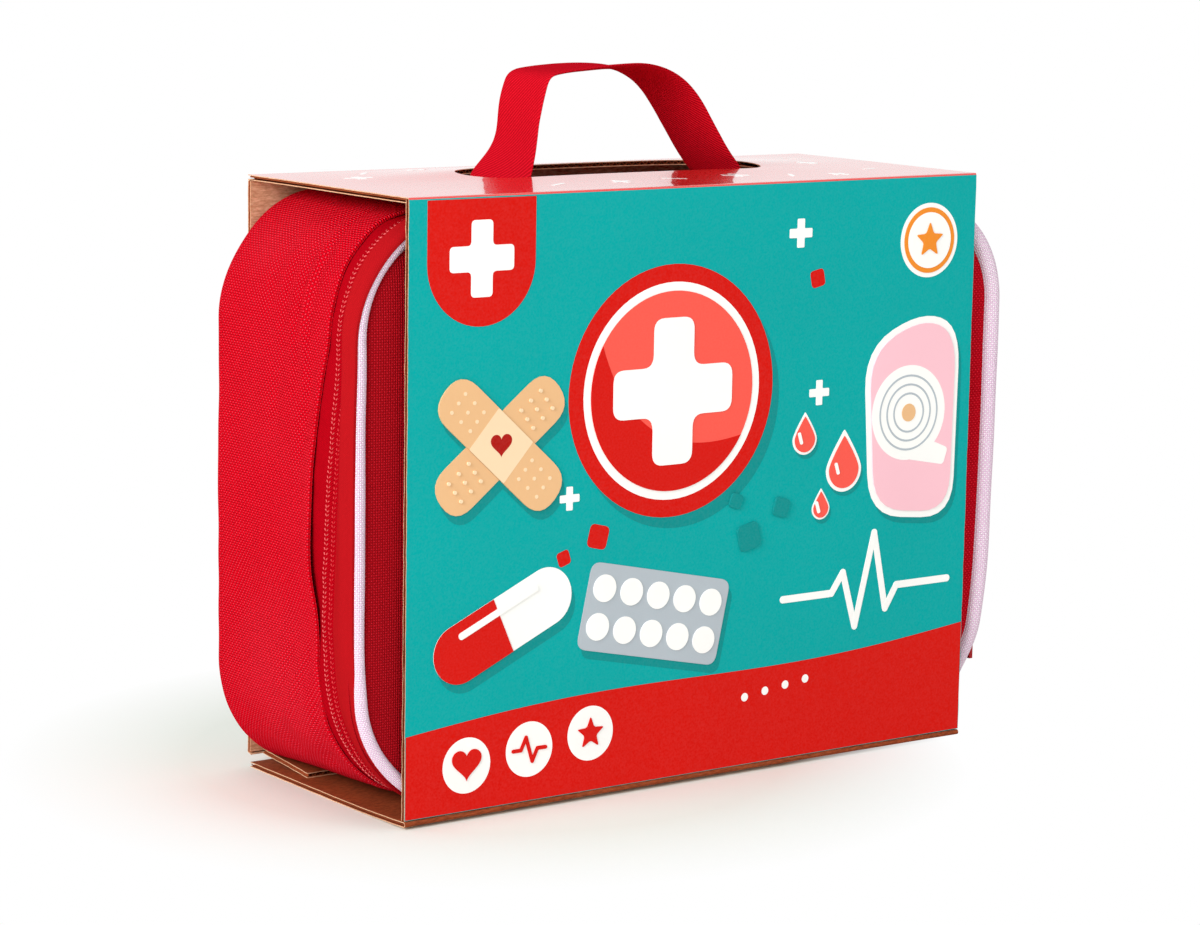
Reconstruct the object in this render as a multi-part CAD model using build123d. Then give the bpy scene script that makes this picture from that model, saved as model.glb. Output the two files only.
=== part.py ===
"""Toy doctor's case: a zipped fabric case with its play instruments, in a corrugated card sleeve.

Frame: X to the right along the front, Y into the depth, Z up, in millimetres. The origin is on the
floor below the middle of the whole object. The sleeve stands on the floor and the case stands in it,
lid forwards, with its handle up through the slot in the sleeve's top.
"""

import os
from math import radians, tan

from build123d import *

# Card sleeve
sleeve_width = 240.0
sleeve_depth = 100.7
headroom = 7.0  # from the case up to the sleeve's top panel
board = 1.8
crease_gap = 0.05  # between the crease's round nose and the front panel's foot
slit_gap = 0.1  # along the front's cut top edge
flap_depth = 30.0
flap_inset = 5.0
flap_corner = 8.0
flap_notch = 14.0
slot_end_clearance = 10.3  # from the handle's feet to the ends of the slot
slot_side_clearance = 2.3  # from the webbing's edges to the sides of the slot
slot_shift = 6.0  # the slot lies this far behind the middle

# Fabric case
case_width = 272.0
case_height = 193.2
corner_radius = 38.0
back_edge_radius = 9.0
wall = 1.6
lining = 0.6
layer_gap = 0.1
stiffener = 1.0
underside_clearance = 0.3  # case above the sleeve's lock flap
side_clearance = 0.3  # case to the sleeve's front and back panels
piping_diameter = 5.2
piping_proud = 0.1  # the piping's middle line, outside the case's sides
lid_fabric = 1.2
lid_board = 1.5
lid_strip_wall = 1.5

# Zip
zip_plane_from_front = 15.0  # from the sleeve's front face to the line between the teeth
tape = 0.8
lid_tape_width = 5.6
coil_width = 2.0
coil_height = 1.4
coil_parting = 1.2
gusset_from_front = 25.0
slider_length = 10.0
slider_width = 6.2
slider_plate = 1.4
slider_post = 0.6
slider_clearance = 0.3  # from the slider to the lid's side strip
pull_width = 5.0
pull_length = 27.0
pull_thickness = 1.5
bail_radius = 0.8

# Handle
webbing_width = 25.4
webbing = 1.4
foot_reach = 51.5
anchor_length = 22.0

# Play instruments
fit = 0.3  # between a loose piece and what it rests on
corner_standoff = 2.3  # a piece in the rounded back corner stands this far off the floor and the back
pad_width, pad_height, pad_sheets, pad_card = 74.0, 105.0, 3.2, 0.9
cuff_width, cuff_height, cuff_depth, cuff_wall = 80.0, 45.0, 4.6, 1.5
ointment_width, ointment_depth, ointment_height, ointment_cap = 34.0, 15.6, 105.0, 14.0
ointment_crimp = 4.0
barrel_diameter, barrel_length, barrel_bore = 22.0, 87.0, 10.0
flange_size, flange_thickness = 34.0, 12.0
plunger_rod_diameter, plunger_neck = 9.0, 17.0
knob_diameter, knob_length = 24.0, 25.0
nozzle_length, nozzle_root, nozzle_end = 12.0, 9.0, 6.0
stick_width, stick_depth, stick_height, stick_tip = 24.0, 16.0, 138.0, 19.0
groove_width, groove_depth, groove_length = 5.0, 4.0, 96.0
gauge_width, gauge_depth, gauge_height = 28.0, 12.0, 54.0
ferrule_diameter, ferrule_length = 8.4, 6.0
bulb_diameter, bulb_flat, bulb_neck, bulb_neck_diameter = 28.0, 0.8, 7.0, 9.0
pump_diameter, pump_height, pump_cap = 21.0, 58.0, 11.0
rope_diameter = 4.5
tube_diameter = 7.0
chest_diameter, chest_thickness, stem_length = 38.0, 11.0, 6.0

# Worked out from the sizes above
front_face = -sleeve_depth / 2
front_inner = front_face + board
back_inner = sleeve_depth / 2 - board
flap_base = board + layer_gap
case_bottom = flap_base + board + underside_clearance
case_top = case_bottom + case_height
case_middle = case_bottom + case_height / 2
sleeve_height = case_top + headroom + board
slot_length = 2 * (foot_reach + webbing / 2 + slot_end_clearance)
slot_width = webbing_width + 2 * slot_side_clearance
case_back = back_inner - side_clearance
piping_y = front_inner + side_clearance + piping_diameter / 2
zip_y = front_face + zip_plane_from_front
gusset_front = front_face + gusset_from_front
corner_start = case_width / 2 - corner_radius
strip_front = piping_y + piping_diameter / 2
lid_strip_back = zip_y - slider_width / 2 - slider_clearance
tape_offset = wall + layer_gap
coil_offset = tape_offset + tape + layer_gap
floor_z = case_bottom + wall + layer_gap + lining
rest_z = floor_z + fit
lining_back = case_back - wall - layer_gap - stiffener - layer_gap
leaning_y = lining_back - lining - corner_standoff
leaning_z = floor_z + corner_standoff


def block(x0, x1, y0, y1, z0, z1):
    """Box from its two ends along each axis."""
    middle = ((x0 + x1) / 2, (y0 + y1) / 2, (z0 + z1) / 2)
    return Pos(*middle) * Box(x1 - x0, y1 - y0, z1 - z0)


def rod(start, end, radius, end_radius=None):
    """Round bar or cone between two points."""
    axis = Vector(*end) - Vector(*start)
    place = Plane(origin=start, z_dir=axis)
    if end_radius is None or end_radius == radius:
        shape = Cylinder(radius, axis.length, align=(Align.CENTER, Align.CENTER, Align.MIN))
    else:
        shape = Cone(radius, end_radius, axis.length, align=(Align.CENTER, Align.CENTER, Align.MIN))
    return place * shape


def case_outline(inset, y):
    """The case's rounded outline as seen from the front, drawn in from the outside by inset."""
    face = Plane((0, y, case_middle), x_dir=(1, 0, 0), z_dir=(0, 1, 0))
    size = (case_width - 2 * inset, case_height - 2 * inset)
    return face * RectangleRounded(*size, corner_radius - inset)


def case_prism(inset, y0, y1):
    return extrude(case_outline(inset, y0), amount=y1 - y0)


def case_ring(inset, thickness, y0, y1):
    """Band of one thickness all the way round the case."""
    return case_prism(inset, y0, y1) - case_prism(inset + thickness, y0, y1)


def zip_ring(inset, thickness, y0, y1):
    """Band up the left side, over the top and down the right side, open along the hinge."""
    hinge_gap = block(-corner_start, corner_start, y0 - 1, y1 + 1, case_bottom - 1, case_middle)
    return case_ring(inset, thickness, y0, y1) - hinge_gap


def case_bag(inset, y0, y1):
    """Solid bag shape, with its back edge rounded."""
    bag = case_prism(inset, y0, y1)
    return fillet(bag.faces().sort_by(Axis.Y)[-1].edges(), back_edge_radius - inset)


def bent_tube(points, diameter, least):
    """Tube of straight runs and tangent arcs, each arc as large as its two runs allow."""
    corners = [Vector(*p) for p in points]
    radii = []
    for before, here, after in zip(corners, corners[1:], corners[2:]):
        turn = radians((here - before).get_angle(after - here))
        shorter = min((here - before).length, (after - here).length)
        radii.append(0.45 * shorter / tan(turn / 2))
    path = FilletPolyline(*corners, radius=radii)
    tube = sweep(Plane(origin=path @ 0, z_dir=path % 0) * Circle(diameter / 2), path=path)
    filled = tube.volume / (path.length * Circle(diameter / 2).area)
    print(f"cord {diameter} mm, {path.length:.1f} mm long, section times length {filled:.4f},")
    print("  radii in diameters", [round(r / diameter, 1) for r in radii], "least wanted", least)
    return tube


# ---------------------------------------------------------------- sleeve


def sleeve_top():
    panel = block(
        -sleeve_width / 2, sleeve_width / 2, front_inner + slit_gap, sleeve_depth / 2,
        sleeve_height - board, sleeve_height,
    )
    slot = Pos(0, slot_shift, sleeve_height - board - 1) * SlotOverall(slot_length, slot_width)
    return panel - extrude(slot, amount=board + 2)


def sleeve_back():
    top = sleeve_height - board
    return block(-sleeve_width / 2, sleeve_width / 2, back_inner, sleeve_depth / 2, flap_base, top)


def sleeve_bottom():
    """The base panel, with a round nose where it is creased to the front."""
    half = sleeve_width / 2
    nose_y = front_face + board / 2
    nose = rod((-half, nose_y, board / 2), (half, nose_y, board / 2), board / 2)
    return nose + block(-half, half, nose_y, back_inner - slit_gap, 0, board)


def sleeve_front():
    foot = board + crease_gap
    return block(-sleeve_width / 2, sleeve_width / 2, front_face, front_inner, foot, sleeve_height)


def sleeve_lock_flap():
    """Narrow flap folded forwards from the back panel's foot, inside the base panel."""
    half = sleeve_width / 2 - flap_inset
    flap = block(-half, half, back_inner - flap_depth, back_inner, flap_base, flap_base + board)
    front_corners = flap.edges().filter_by(Axis.Z).group_by(Axis.Y)[0]
    flap = fillet(front_corners, flap_corner)
    for side in (-1, 1):
        notch_x = side * (half - flap_notch / 2)
        flap -= Pos(notch_x, back_inner - board, flap_base) * Box(flap_notch, 2 * board, 4 * board)
    return flap


# ---------------------------------------------------------------- case


def case_shell():
    outer = case_bag(0, gusset_front, case_back)
    return outer - case_bag(wall, gusset_front, case_back - wall)


def gusset():
    seam = case_back - back_edge_radius
    return split(case_shell(), Plane((0, seam, 0), z_dir=(0, 1, 0)), keep=Keep.BOTTOM)


def back_panel():
    seam = case_back - back_edge_radius
    return split(case_shell(), Plane((0, seam, 0), z_dir=(0, 1, 0)), keep=Keep.TOP)


def back_stiffener():
    outer = case_back - wall - layer_gap
    return case_prism(back_edge_radius + wall, outer - stiffener, outer)


def case_lining():
    outset = wall + layer_gap
    outer = case_bag(outset, gusset_front, lining_back)
    return outer - case_bag(outset + lining, gusset_front, lining_back - lining)


def hinge_strip():
    """Fabric that joins the bag's floor to the lid's lower edge."""
    return block(
        -corner_start, corner_start, strip_front + crease_gap, gusset_front - layer_gap, case_bottom, floor_z
    )


def body_tape():
    front = zip_y + coil_parting / 2
    return zip_ring(tape_offset, tape, front, gusset_front - layer_gap)


def body_coil():
    front = zip_y + coil_parting / 2
    return zip_ring(coil_offset, coil_height, front, front + coil_width)


def lid_tape():
    back = zip_y - coil_parting / 2
    return zip_ring(tape_offset, tape, back - lid_tape_width, back)


def lid_coil():
    back = zip_y - coil_parting / 2
    return zip_ring(coil_offset, coil_height, back - coil_width, back)


def zip_stops():
    """A small clamp across both rows at each end of the zip, on the hinge strip."""
    stops = []
    for side in (-1, 1):
        inner, outer = sorted((side * (corner_start - 1.8), side * (corner_start - 0.3)))
        half = coil_parting / 2 + coil_width
        stops.append(block(inner, outer, zip_y - half, zip_y + half, floor_z + layer_gap, floor_z + 1.8))
    return stops


# ---------------------------------------------------------------- lid

lid_inset = piping_diameter / 2 + 0.05
lid_front = piping_y - 1.0


def piping_outline(inset, y):
    """Line through the middle of the piping, drawn in by inset: it stands proud of the case's sides."""
    face = Plane((0, y, case_middle), x_dir=(1, 0, 0), z_dir=(0, 1, 0))
    size = (case_width + 2 * piping_proud - 2 * inset, case_height - piping_diameter - 2 * inset)
    return face * RectangleRounded(*size, corner_radius - inset)


def lid_layer(inset, front, thickness):
    return extrude(piping_outline(inset, front), amount=thickness)


def lid_panel():
    return lid_layer(lid_inset, lid_front, lid_fabric)


def lid_stiffener():
    return lid_layer(lid_inset + 1.0, lid_front + lid_fabric + layer_gap, lid_board)


def lid_lining():
    return lid_layer(lid_inset + 0.4, lid_front + lid_fabric + lid_board + 2 * layer_gap, lining)


def lid_piping():
    """Cord in a woven sleeve, sewn into the seam all round the lid."""
    path = piping_outline(0, piping_y).wire()
    return sweep(Plane(origin=path @ 0, z_dir=path % 0) * Circle(piping_diameter / 2), path=path)


def lid_strip():
    return zip_ring(0, lid_strip_wall, strip_front + crease_gap, lid_strip_back)


# ---------------------------------------------------------------- zip slider

slider_x = case_width / 2 - tape_offset + layer_gap
slider_rest_z = case_bottom + corner_radius + slider_length
bail_z = slider_rest_z
pull_x = slider_x + slider_plate + bail_radius


def zip_slider():
    """Two plates joined by the post that runs between the rows of teeth, with the pull's eye."""
    low, high = slider_rest_z - slider_length / 2, slider_rest_z + slider_length / 2
    front, back = zip_y - slider_width / 2, zip_y + slider_width / 2
    inner = case_width / 2 - coil_offset - coil_height - layer_gap
    outer_plate = block(slider_x, slider_x + slider_plate, front, back, low, high)
    inner_plate = block(inner - slider_plate, inner, front, back, low, high)
    post = block(
        inner - 0.1, slider_x + 0.1, zip_y - slider_post / 2, zip_y + slider_post / 2, high - 3, high
    )
    return outer_plate + inner_plate + post


def zip_pull():
    """Moulded tab that hangs from the slider on a round cross bar."""
    half = pull_width / 2
    bar = rod((pull_x, zip_y - half, bail_z), (pull_x, zip_y + half, bail_z), bail_radius - 0.05)
    tab = block(
        pull_x - bail_radius + 0.05, pull_x - bail_radius + 0.05 + pull_thickness,
        zip_y - half, zip_y + half, bail_z - pull_length, bail_z,
    )
    return bar + tab


# ---------------------------------------------------------------- handle

handle_route = (
    (-foot_reach, 0.4), (-43.5, 14.8), (-40.0, 28.8), (-37.8, 43.8),
    (-6.0, 46.1), (16.0, 45.4), (30.5, 37.3), (41.5, 21.8), (foot_reach, 0.4),
)  # X, and height above the case
handle_bends = (14.0, 30.0, 4.0, 60.0, 14.0, 16.0, 40.0)


def handle_strap():
    """Webbing loop: its side view traced in the XZ plane and widened along Y."""
    line = FilletPolyline(*[(x, case_top + up) for x, up in handle_route], radius=handle_bends)
    face = Plane.XZ * trace(line, webbing)
    return Pos(0, slot_shift, 0) * extrude(face, amount=webbing_width / 2, both=True)


def handle_anchors():
    """The strap's two sewn-down ends."""
    low = case_top + layer_gap
    near = foot_reach + webbing / 2 + 0.4
    half = webbing_width / 2
    ends = []
    for side in (-1, 1):
        inner, outer = sorted((side * near, side * (near + anchor_length)))
        ends.append(block(inner, outer, slot_shift - half, slot_shift + half, low, low + webbing))
    return ends


# ---------------------------------------------------------------- play instruments

pad_left = -corner_start + 3
cuff_left = pad_left + pad_width + 2
ointment_left = corner_start - ointment_width
stick_left = -corner_start + 3
stick_front = 6.0
syringe_y, syringe_z = 9.0, rest_z + flange_size / 2
flange_x = 33.0
gauge_left, gauge_front = -4.0, -28.0
ferrule_y, ferrule_z = gauge_front + gauge_depth / 2, rest_z + ferrule_diameter / 2
bulb_x, bulb_y, bulb_z = -81.0, -24.5, rest_z + bulb_diameter / 2
bulb_end_x = bulb_x + bulb_diameter / 2 - bulb_flat + bulb_neck
pump_x, pump_y = 85.5, -29.9
port_x = pump_x - pump_diameter / 2 + 1.0
rope_z = floor_z + rope_diameter / 2 + fit


def pad_sheet_block():
    back = leaning_y - pad_card
    return block(pad_left, pad_left + pad_width, back - pad_sheets, back, leaning_z, leaning_z + pad_height)


def pad_back_card():
    return block(
        pad_left, pad_left + pad_width, leaning_y - pad_card, leaning_y, leaning_z, leaning_z + pad_height
    )


def bandage_cuff():
    """Closed fabric band, pressed flat and stood on its edge."""
    middle = (cuff_left + cuff_width / 2, leaning_y - cuff_depth / 2, leaning_z)
    outer = SlotOverall(cuff_width, cuff_depth)
    inner = SlotOverall(cuff_width - 2 * cuff_wall, cuff_depth - 2 * cuff_wall)
    return Pos(*middle) * extrude(outer - inner, amount=cuff_height)


def ointment_body():
    """Wooden wedge: full section at the cap, drawn out to a thin crimped end."""
    place = Pos(ointment_left + ointment_width / 2, leaning_y - ointment_depth / 2, leaning_z + ointment_cap)
    foot = place * RectangleRounded(ointment_width - 1, ointment_depth - 1, 5)
    rise = ointment_height - ointment_cap
    head = place * Pos(0, 0, rise) * RectangleRounded(ointment_width, ointment_crimp, 1.5)
    return loft([foot, head])


def ointment_lid():
    place = Pos(ointment_left + ointment_width / 2, leaning_y - ointment_depth / 2, leaning_z)
    return place * extrude(RectangleRounded(ointment_width, ointment_depth, 5.5), amount=ointment_cap)


def along_syringe(x):
    return (x, syringe_y, syringe_z)


def syringe_barrel():
    start = flange_x - barrel_length
    tube = rod(along_syringe(start), along_syringe(flange_x), barrel_diameter / 2)
    return tube - rod(along_syringe(start + 8), along_syringe(flange_x + 1), barrel_bore / 2)


def syringe_nozzle():
    start = flange_x - barrel_length
    root, end = nozzle_root / 2, nozzle_end / 2
    return rod(along_syringe(start), along_syringe(start - nozzle_length), root, end)


def syringe_flange():
    half = flange_size / 2
    back = flange_x + flange_thickness
    plate = block(flange_x, back, syringe_y - half, syringe_y + half, syringe_z - half, syringe_z + half)
    plate = fillet(plate.edges().filter_by(Axis.X), 3)
    return plate - rod(along_syringe(flange_x - 1), along_syringe(back + 1), barrel_bore / 2)


def plunger_rod():
    start = flange_x - barrel_length * 0.6
    end = flange_x + flange_thickness + plunger_neck
    return rod(along_syringe(start), along_syringe(end), plunger_rod_diameter / 2)


def plunger_knob():
    start = flange_x + flange_thickness + plunger_neck
    knob = rod(along_syringe(start), along_syringe(start + knob_length), knob_diameter / 2)
    return fillet(knob.edges().filter_by(GeomType.CIRCLE), 2.5)


def thermometer_stick():
    """Upright bar with a blind groove down its front."""
    bar = block(
        stick_left, stick_left + stick_width, stick_front, stick_front + stick_depth,
        rest_z, rest_z + stick_height,
    )
    bar = fillet(bar.edges().filter_by(Axis.Z), 6)
    middle = stick_left + stick_width / 2
    low = rest_z + 22
    groove = block(
        middle - groove_width / 2, middle + groove_width / 2, stick_front - 1,
        stick_front + groove_depth, low, low + groove_length,
    )
    return bar - groove


def thermometer_tip():
    middle = (stick_left + stick_width / 2, stick_front + stick_depth / 2)
    start = rest_z + stick_height
    cone = rod((*middle, start), (*middle, start + stick_tip - 4), stick_depth / 2 - 1, 2.6)
    return cone + rod((*middle, start + stick_tip - 5), (*middle, start + stick_tip), 2.4)


def thermometer_column():
    """Red strip on the bottom of the groove."""
    middle = stick_left + stick_width / 2
    low = rest_z + 23
    deep = stick_front + groove_depth
    return block(middle - 1.2, middle + 1.2, deep - 1.2, deep - 0.05, low, low + groove_length - 2)


def thermometer_slider():
    """Clear button that runs in the groove in front of the strip."""
    middle = stick_left + stick_width / 2
    foot = groove_width / 2 - 0.2
    low = rest_z + 26
    stem = block(
        middle - foot, middle + foot, stick_front - 0.5, stick_front + groove_depth - 1.5, low, low + 12
    )
    head = block(middle - 5, middle + 5, stick_front - 3.5, stick_front - 0.3, low, low + 12)
    return stem + fillet(head.edges().filter_by(Axis.Y), 3)


def gauge_block():
    """Flat block with a half-round top."""
    middle = gauge_left + gauge_width / 2
    radius = gauge_width / 2
    foot = block(
        gauge_left, gauge_left + gauge_width, gauge_front, gauge_front + gauge_depth,
        rest_z, rest_z + gauge_height - radius,
    )
    crown_z = rest_z + gauge_height - radius
    crown = rod((middle, gauge_front, crown_z), (middle, gauge_front + gauge_depth, crown_z), radius)
    return foot + crown


def gauge_ferrules():
    right = gauge_left + gauge_width
    starts = ((gauge_left, gauge_left - ferrule_length), (right, right + ferrule_length))
    return [
        rod((near, ferrule_y, ferrule_z), (far, ferrule_y, ferrule_z), ferrule_diameter / 2)
        for near, far in starts
    ]


def bulb():
    ball = Pos(bulb_x, bulb_y, bulb_z) * Sphere(bulb_diameter / 2)
    flat = bulb_x + bulb_diameter / 2 - bulb_flat
    return ball - block(flat, flat + 5, bulb_y - 20, bulb_y + 20, bulb_z - 20, bulb_z + 20)


def bulb_nozzle():
    flat = bulb_x + bulb_diameter / 2 - bulb_flat
    return rod((flat, bulb_y, bulb_z), (bulb_end_x, bulb_y, bulb_z), bulb_neck_diameter / 2)


def pump_barrel():
    low, high = rest_z + pump_cap, rest_z + pump_height - pump_cap
    return rod((pump_x, pump_y, low), (pump_x, pump_y, high), pump_diameter / 2 - 0.8)


def pump_caps():
    """Red cap at each end; the lower one takes the rope in a flat on its side."""
    caps = []
    for low in (rest_z, rest_z + pump_height - pump_cap):
        caps.append(rod((pump_x, pump_y, low), (pump_x, pump_y, low + pump_cap), pump_diameter / 2))
    caps[0] -= block(port_x - 2, port_x, pump_y - 6, pump_y + 6, rest_z - 1, rest_z + pump_cap + 1)
    return caps


rope_short_route = (
    (bulb_end_x, bulb_y, bulb_z),
    (-53.2, bulb_y, bulb_z),
    (-45.8, -25.2, 17.4),
    (-39.2, -26.0, 12.6),
    (-32.0, -25.8, rope_z + 0.6),
    (-24.4, -24.0, rope_z + 0.3),
    (-17.8, ferrule_y, ferrule_z),
    (gauge_left - ferrule_length, ferrule_y, ferrule_z),
)
rope_long_route = (
    (gauge_left + gauge_width + ferrule_length, ferrule_y, ferrule_z),
    (37.2, ferrule_y, ferrule_z),
    (43.6, -25.0, 9.6),
    (48.3, -30.2, rope_z),
    (54.8, -33.1, rope_z + 0.1),
    (62.0, -33.0, rope_z),
    (68.6, pump_y, ferrule_z),
    (port_x, pump_y, ferrule_z),
)
steth_y = 33.0
tube_route = (
    (-60.0, steth_y, 121.0),
    (-63.6, steth_y, 98.0),
    (-66.6, steth_y, 71.0),
    (-65.0, steth_y, 46.0),
    (-53.4, steth_y, 23.4),
    (-31.0, steth_y, floor_z + tube_diameter / 2 + fit),
    (-6.4, steth_y, floor_z + tube_diameter / 2 + fit),
    (16.0, steth_y, 22.6),
    (29.0, steth_y, 44.6),
    (29.0, steth_y, 66.0),
)


def rope_short():
    return bent_tube(rope_short_route, rope_diameter, 3)


def rope_long():
    return bent_tube(rope_long_route, rope_diameter, 3)


def stethoscope_tube():
    return bent_tube(tube_route, tube_diameter, 5)


# Stethoscope head, and the two arms either side of its middle line
tube_start = Vector(*tube_route[0])
stem_axis = (tube_start - Vector(*tube_route[1])).normalized()
head = tube_start + stem_axis * (stem_length + chest_diameter / 2)
arm_x = tube_route[-1][0]
joint_z = tube_route[-1][2]


def chest_piece():
    front = steth_y - chest_thickness / 2
    disc = rod((head.X, front, head.Z), (head.X, front + chest_thickness, head.Z), chest_diameter / 2)
    return fillet(disc.edges().filter_by(GeomType.CIRCLE), 3)


def chest_stem():
    stem = rod(tuple(tube_start), tuple(tube_start + stem_axis * 2 * stem_length), 5.0)
    return stem - chest_piece()


def y_joint():
    """Moulded fork: one socket below, two arms above."""
    low = (arm_x, steth_y, joint_z)
    crotch = (arm_x, steth_y, joint_z + 18)
    fork = rod(low, crotch, 5.0) + Pos(*crotch) * Sphere(5.0)
    for side in (-1, 1):
        fork += rod(crotch, (arm_x + side * 17, steth_y, joint_z + 44), 4.0)
    return fork


def arm_end(side):
    return Vector(arm_x + side * 17, steth_y, joint_z + 44)


def arm_axis(side):
    return (arm_end(side) - Vector(arm_x, steth_y, joint_z + 18)).normalized()


sleeve_length = 20.0
spring_sag = 5.0
ear_rise = 53.0  # from the sleeve to the end of the ear tube


def ear_sleeve(side):
    start = arm_end(side)
    return rod(tuple(start), tuple(start + arm_axis(side) * sleeve_length), 5.2)


def binaural_spring():
    """Flat band bowed between the two sleeves, ending against their inner sides."""
    left, right = (arm_end(side) + arm_axis(side) * 12 for side in (-1, 1))
    inset = 7.4
    start = (left.X + inset, left.Z)
    end = (right.X - inset, right.Z)
    low = (arm_x, left.Z - spring_sag)
    face = Plane.XZ * trace(ThreePointArc(start, low, end), 1.8)
    return Pos(0, steth_y, 0) * extrude(face, amount=3.5, both=True)


def ear_tube(side):
    """Red tube that bows outwards and comes back in to the ear tip."""
    start = arm_end(side) + arm_axis(side) * sleeve_length
    points = (
        tuple(start),
        tuple(start + arm_axis(side) * 22),
        (arm_x + side * 36.0, steth_y, start.Z + 45),
        (arm_x + side * 15.0, steth_y, start.Z + ear_rise),
    )
    path = FilletPolyline(*points, radius=(20.0, 14.0))
    return sweep(Plane(origin=path @ 0, z_dir=path % 0) * Circle(3.0), path=path)


def ear_tips():
    tips = []
    for side in (-1, 1):
        start = arm_end(side) + arm_axis(side) * sleeve_length
        near = Vector(arm_x + side * 15.0, steth_y, start.Z + ear_rise)
        toward = (near - Vector(arm_x + side * 36.0, steth_y, start.Z + 45)).normalized()
        tips.append(rod(tuple(near), tuple(near + toward * 9), 3.6, 4.6))
    return tips


nodes = {
    "sleeve_top": sleeve_top,
    "sleeve_back": sleeve_back,
    "sleeve_bottom": sleeve_bottom,
    "sleeve_front": sleeve_front,
    "sleeve_lock_flap": sleeve_lock_flap,
    "case_gusset": gusset,
    "case_back_panel": back_panel,
    "case_back_stiffener": back_stiffener,
    "case_lining": case_lining,
    "lid_hinge_strip": hinge_strip,
    "zip_tape_body": body_tape,
    "zip_coil_body": body_coil,
    "zip_tape_lid": lid_tape,
    "zip_coil_lid": lid_coil,
    "zip_end_stops": zip_stops,
    "zip_slider": zip_slider,
    "zip_pull": zip_pull,
    "lid_front_panel": lid_panel,
    "lid_stiffener": lid_stiffener,
    "lid_lining": lid_lining,
    "lid_piping": lid_piping,
    "lid_side_strip": lid_strip,
    "handle_strap": handle_strap,
    "handle_anchors": handle_anchors,
    "note_pad_sheets": pad_sheet_block,
    "note_pad_card": pad_back_card,
    "bandage_cuff": bandage_cuff,
    "ointment_tube": ointment_body,
    "ointment_cap": ointment_lid,
    "syringe_barrel": syringe_barrel,
    "syringe_nozzle": syringe_nozzle,
    "syringe_flange": syringe_flange,
    "plunger_rod": plunger_rod,
    "plunger_knob": plunger_knob,
    "thermometer_stick": thermometer_stick,
    "thermometer_tip": thermometer_tip,
    "thermometer_column": thermometer_column,
    "thermometer_slider": thermometer_slider,
    "gauge_block": gauge_block,
    "gauge_ferrules": gauge_ferrules,
    "bulb": bulb,
    "bulb_nozzle": bulb_nozzle,
    "pump_barrel": pump_barrel,
    "pump_caps": pump_caps,
    "rope_short": rope_short,
    "rope_long": rope_long,
    "stethoscope_tube": stethoscope_tube,
    "chest_piece": chest_piece,
    "chest_stem": chest_stem,
    "stethoscope_fork": y_joint,
    "binaural_spring": binaural_spring,
    "ear_sleeve_left": lambda: ear_sleeve(-1),
    "ear_sleeve_right": lambda: ear_sleeve(1),
    "ear_tube_left": lambda: ear_tube(-1),
    "ear_tube_right": lambda: ear_tube(1),
    "ear_tips": ear_tips,
}

os.makedirs("parts", exist_ok=True)
for name, make in nodes.items():
    made = make()
    if isinstance(made, list):
        made = Compound(children=[piece for piece in made])
    export_step(made, f"parts/{name}.step")
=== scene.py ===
"""Looks of the toy doctor's case: a zipped fabric case in a corrugated card sleeve, with its instruments.

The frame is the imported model's: X to the right along the front, Y into the depth, Z up. Sizes here are in
millimetres, and become metres only where a mesh or a curve is made. Surfaces are grids of points worked
out as whole arrays; a shape's formula is in its function's docstring.
"""

from functools import partial
from math import cos, pi, radians, sin

import bmesh
import bpy
import numpy as np
from mathutils import Matrix, Vector
from mathutils.bvhtree import BVHTree


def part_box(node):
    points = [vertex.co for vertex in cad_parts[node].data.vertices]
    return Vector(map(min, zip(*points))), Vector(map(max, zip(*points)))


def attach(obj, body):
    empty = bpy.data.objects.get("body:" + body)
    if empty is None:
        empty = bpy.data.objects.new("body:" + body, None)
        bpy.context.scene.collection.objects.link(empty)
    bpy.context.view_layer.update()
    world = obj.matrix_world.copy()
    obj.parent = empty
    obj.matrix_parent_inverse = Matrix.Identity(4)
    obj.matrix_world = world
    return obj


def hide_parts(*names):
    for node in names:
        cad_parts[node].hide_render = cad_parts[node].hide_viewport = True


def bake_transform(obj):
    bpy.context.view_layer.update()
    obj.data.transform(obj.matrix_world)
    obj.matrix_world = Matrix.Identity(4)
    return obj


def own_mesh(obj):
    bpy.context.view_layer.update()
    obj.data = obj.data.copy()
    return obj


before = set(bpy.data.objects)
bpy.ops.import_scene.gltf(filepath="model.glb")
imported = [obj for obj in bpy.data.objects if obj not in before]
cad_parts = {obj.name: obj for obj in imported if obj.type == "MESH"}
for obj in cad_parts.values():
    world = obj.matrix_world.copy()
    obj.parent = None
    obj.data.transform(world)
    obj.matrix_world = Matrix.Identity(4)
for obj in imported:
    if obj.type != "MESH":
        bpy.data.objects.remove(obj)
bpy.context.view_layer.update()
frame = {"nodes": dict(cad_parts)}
MM = 0.001


# -------------------- small tools


def corners(node):
    """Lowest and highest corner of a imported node, in millimetres."""
    low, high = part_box(node)
    return np.array(low) / MM, np.array(high) / MM


def colour(code):
    """An sRGB hex value as the linear colour that a socket takes."""
    parts = np.array([int(code[i : i + 2], 16) for i in (1, 3, 5)]) / 255
    linear = np.where(parts <= 0.04045, parts / 12.92, ((parts + 0.055) / 1.055) ** 2.4)
    return (*linear.tolist(), 1.0)


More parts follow.
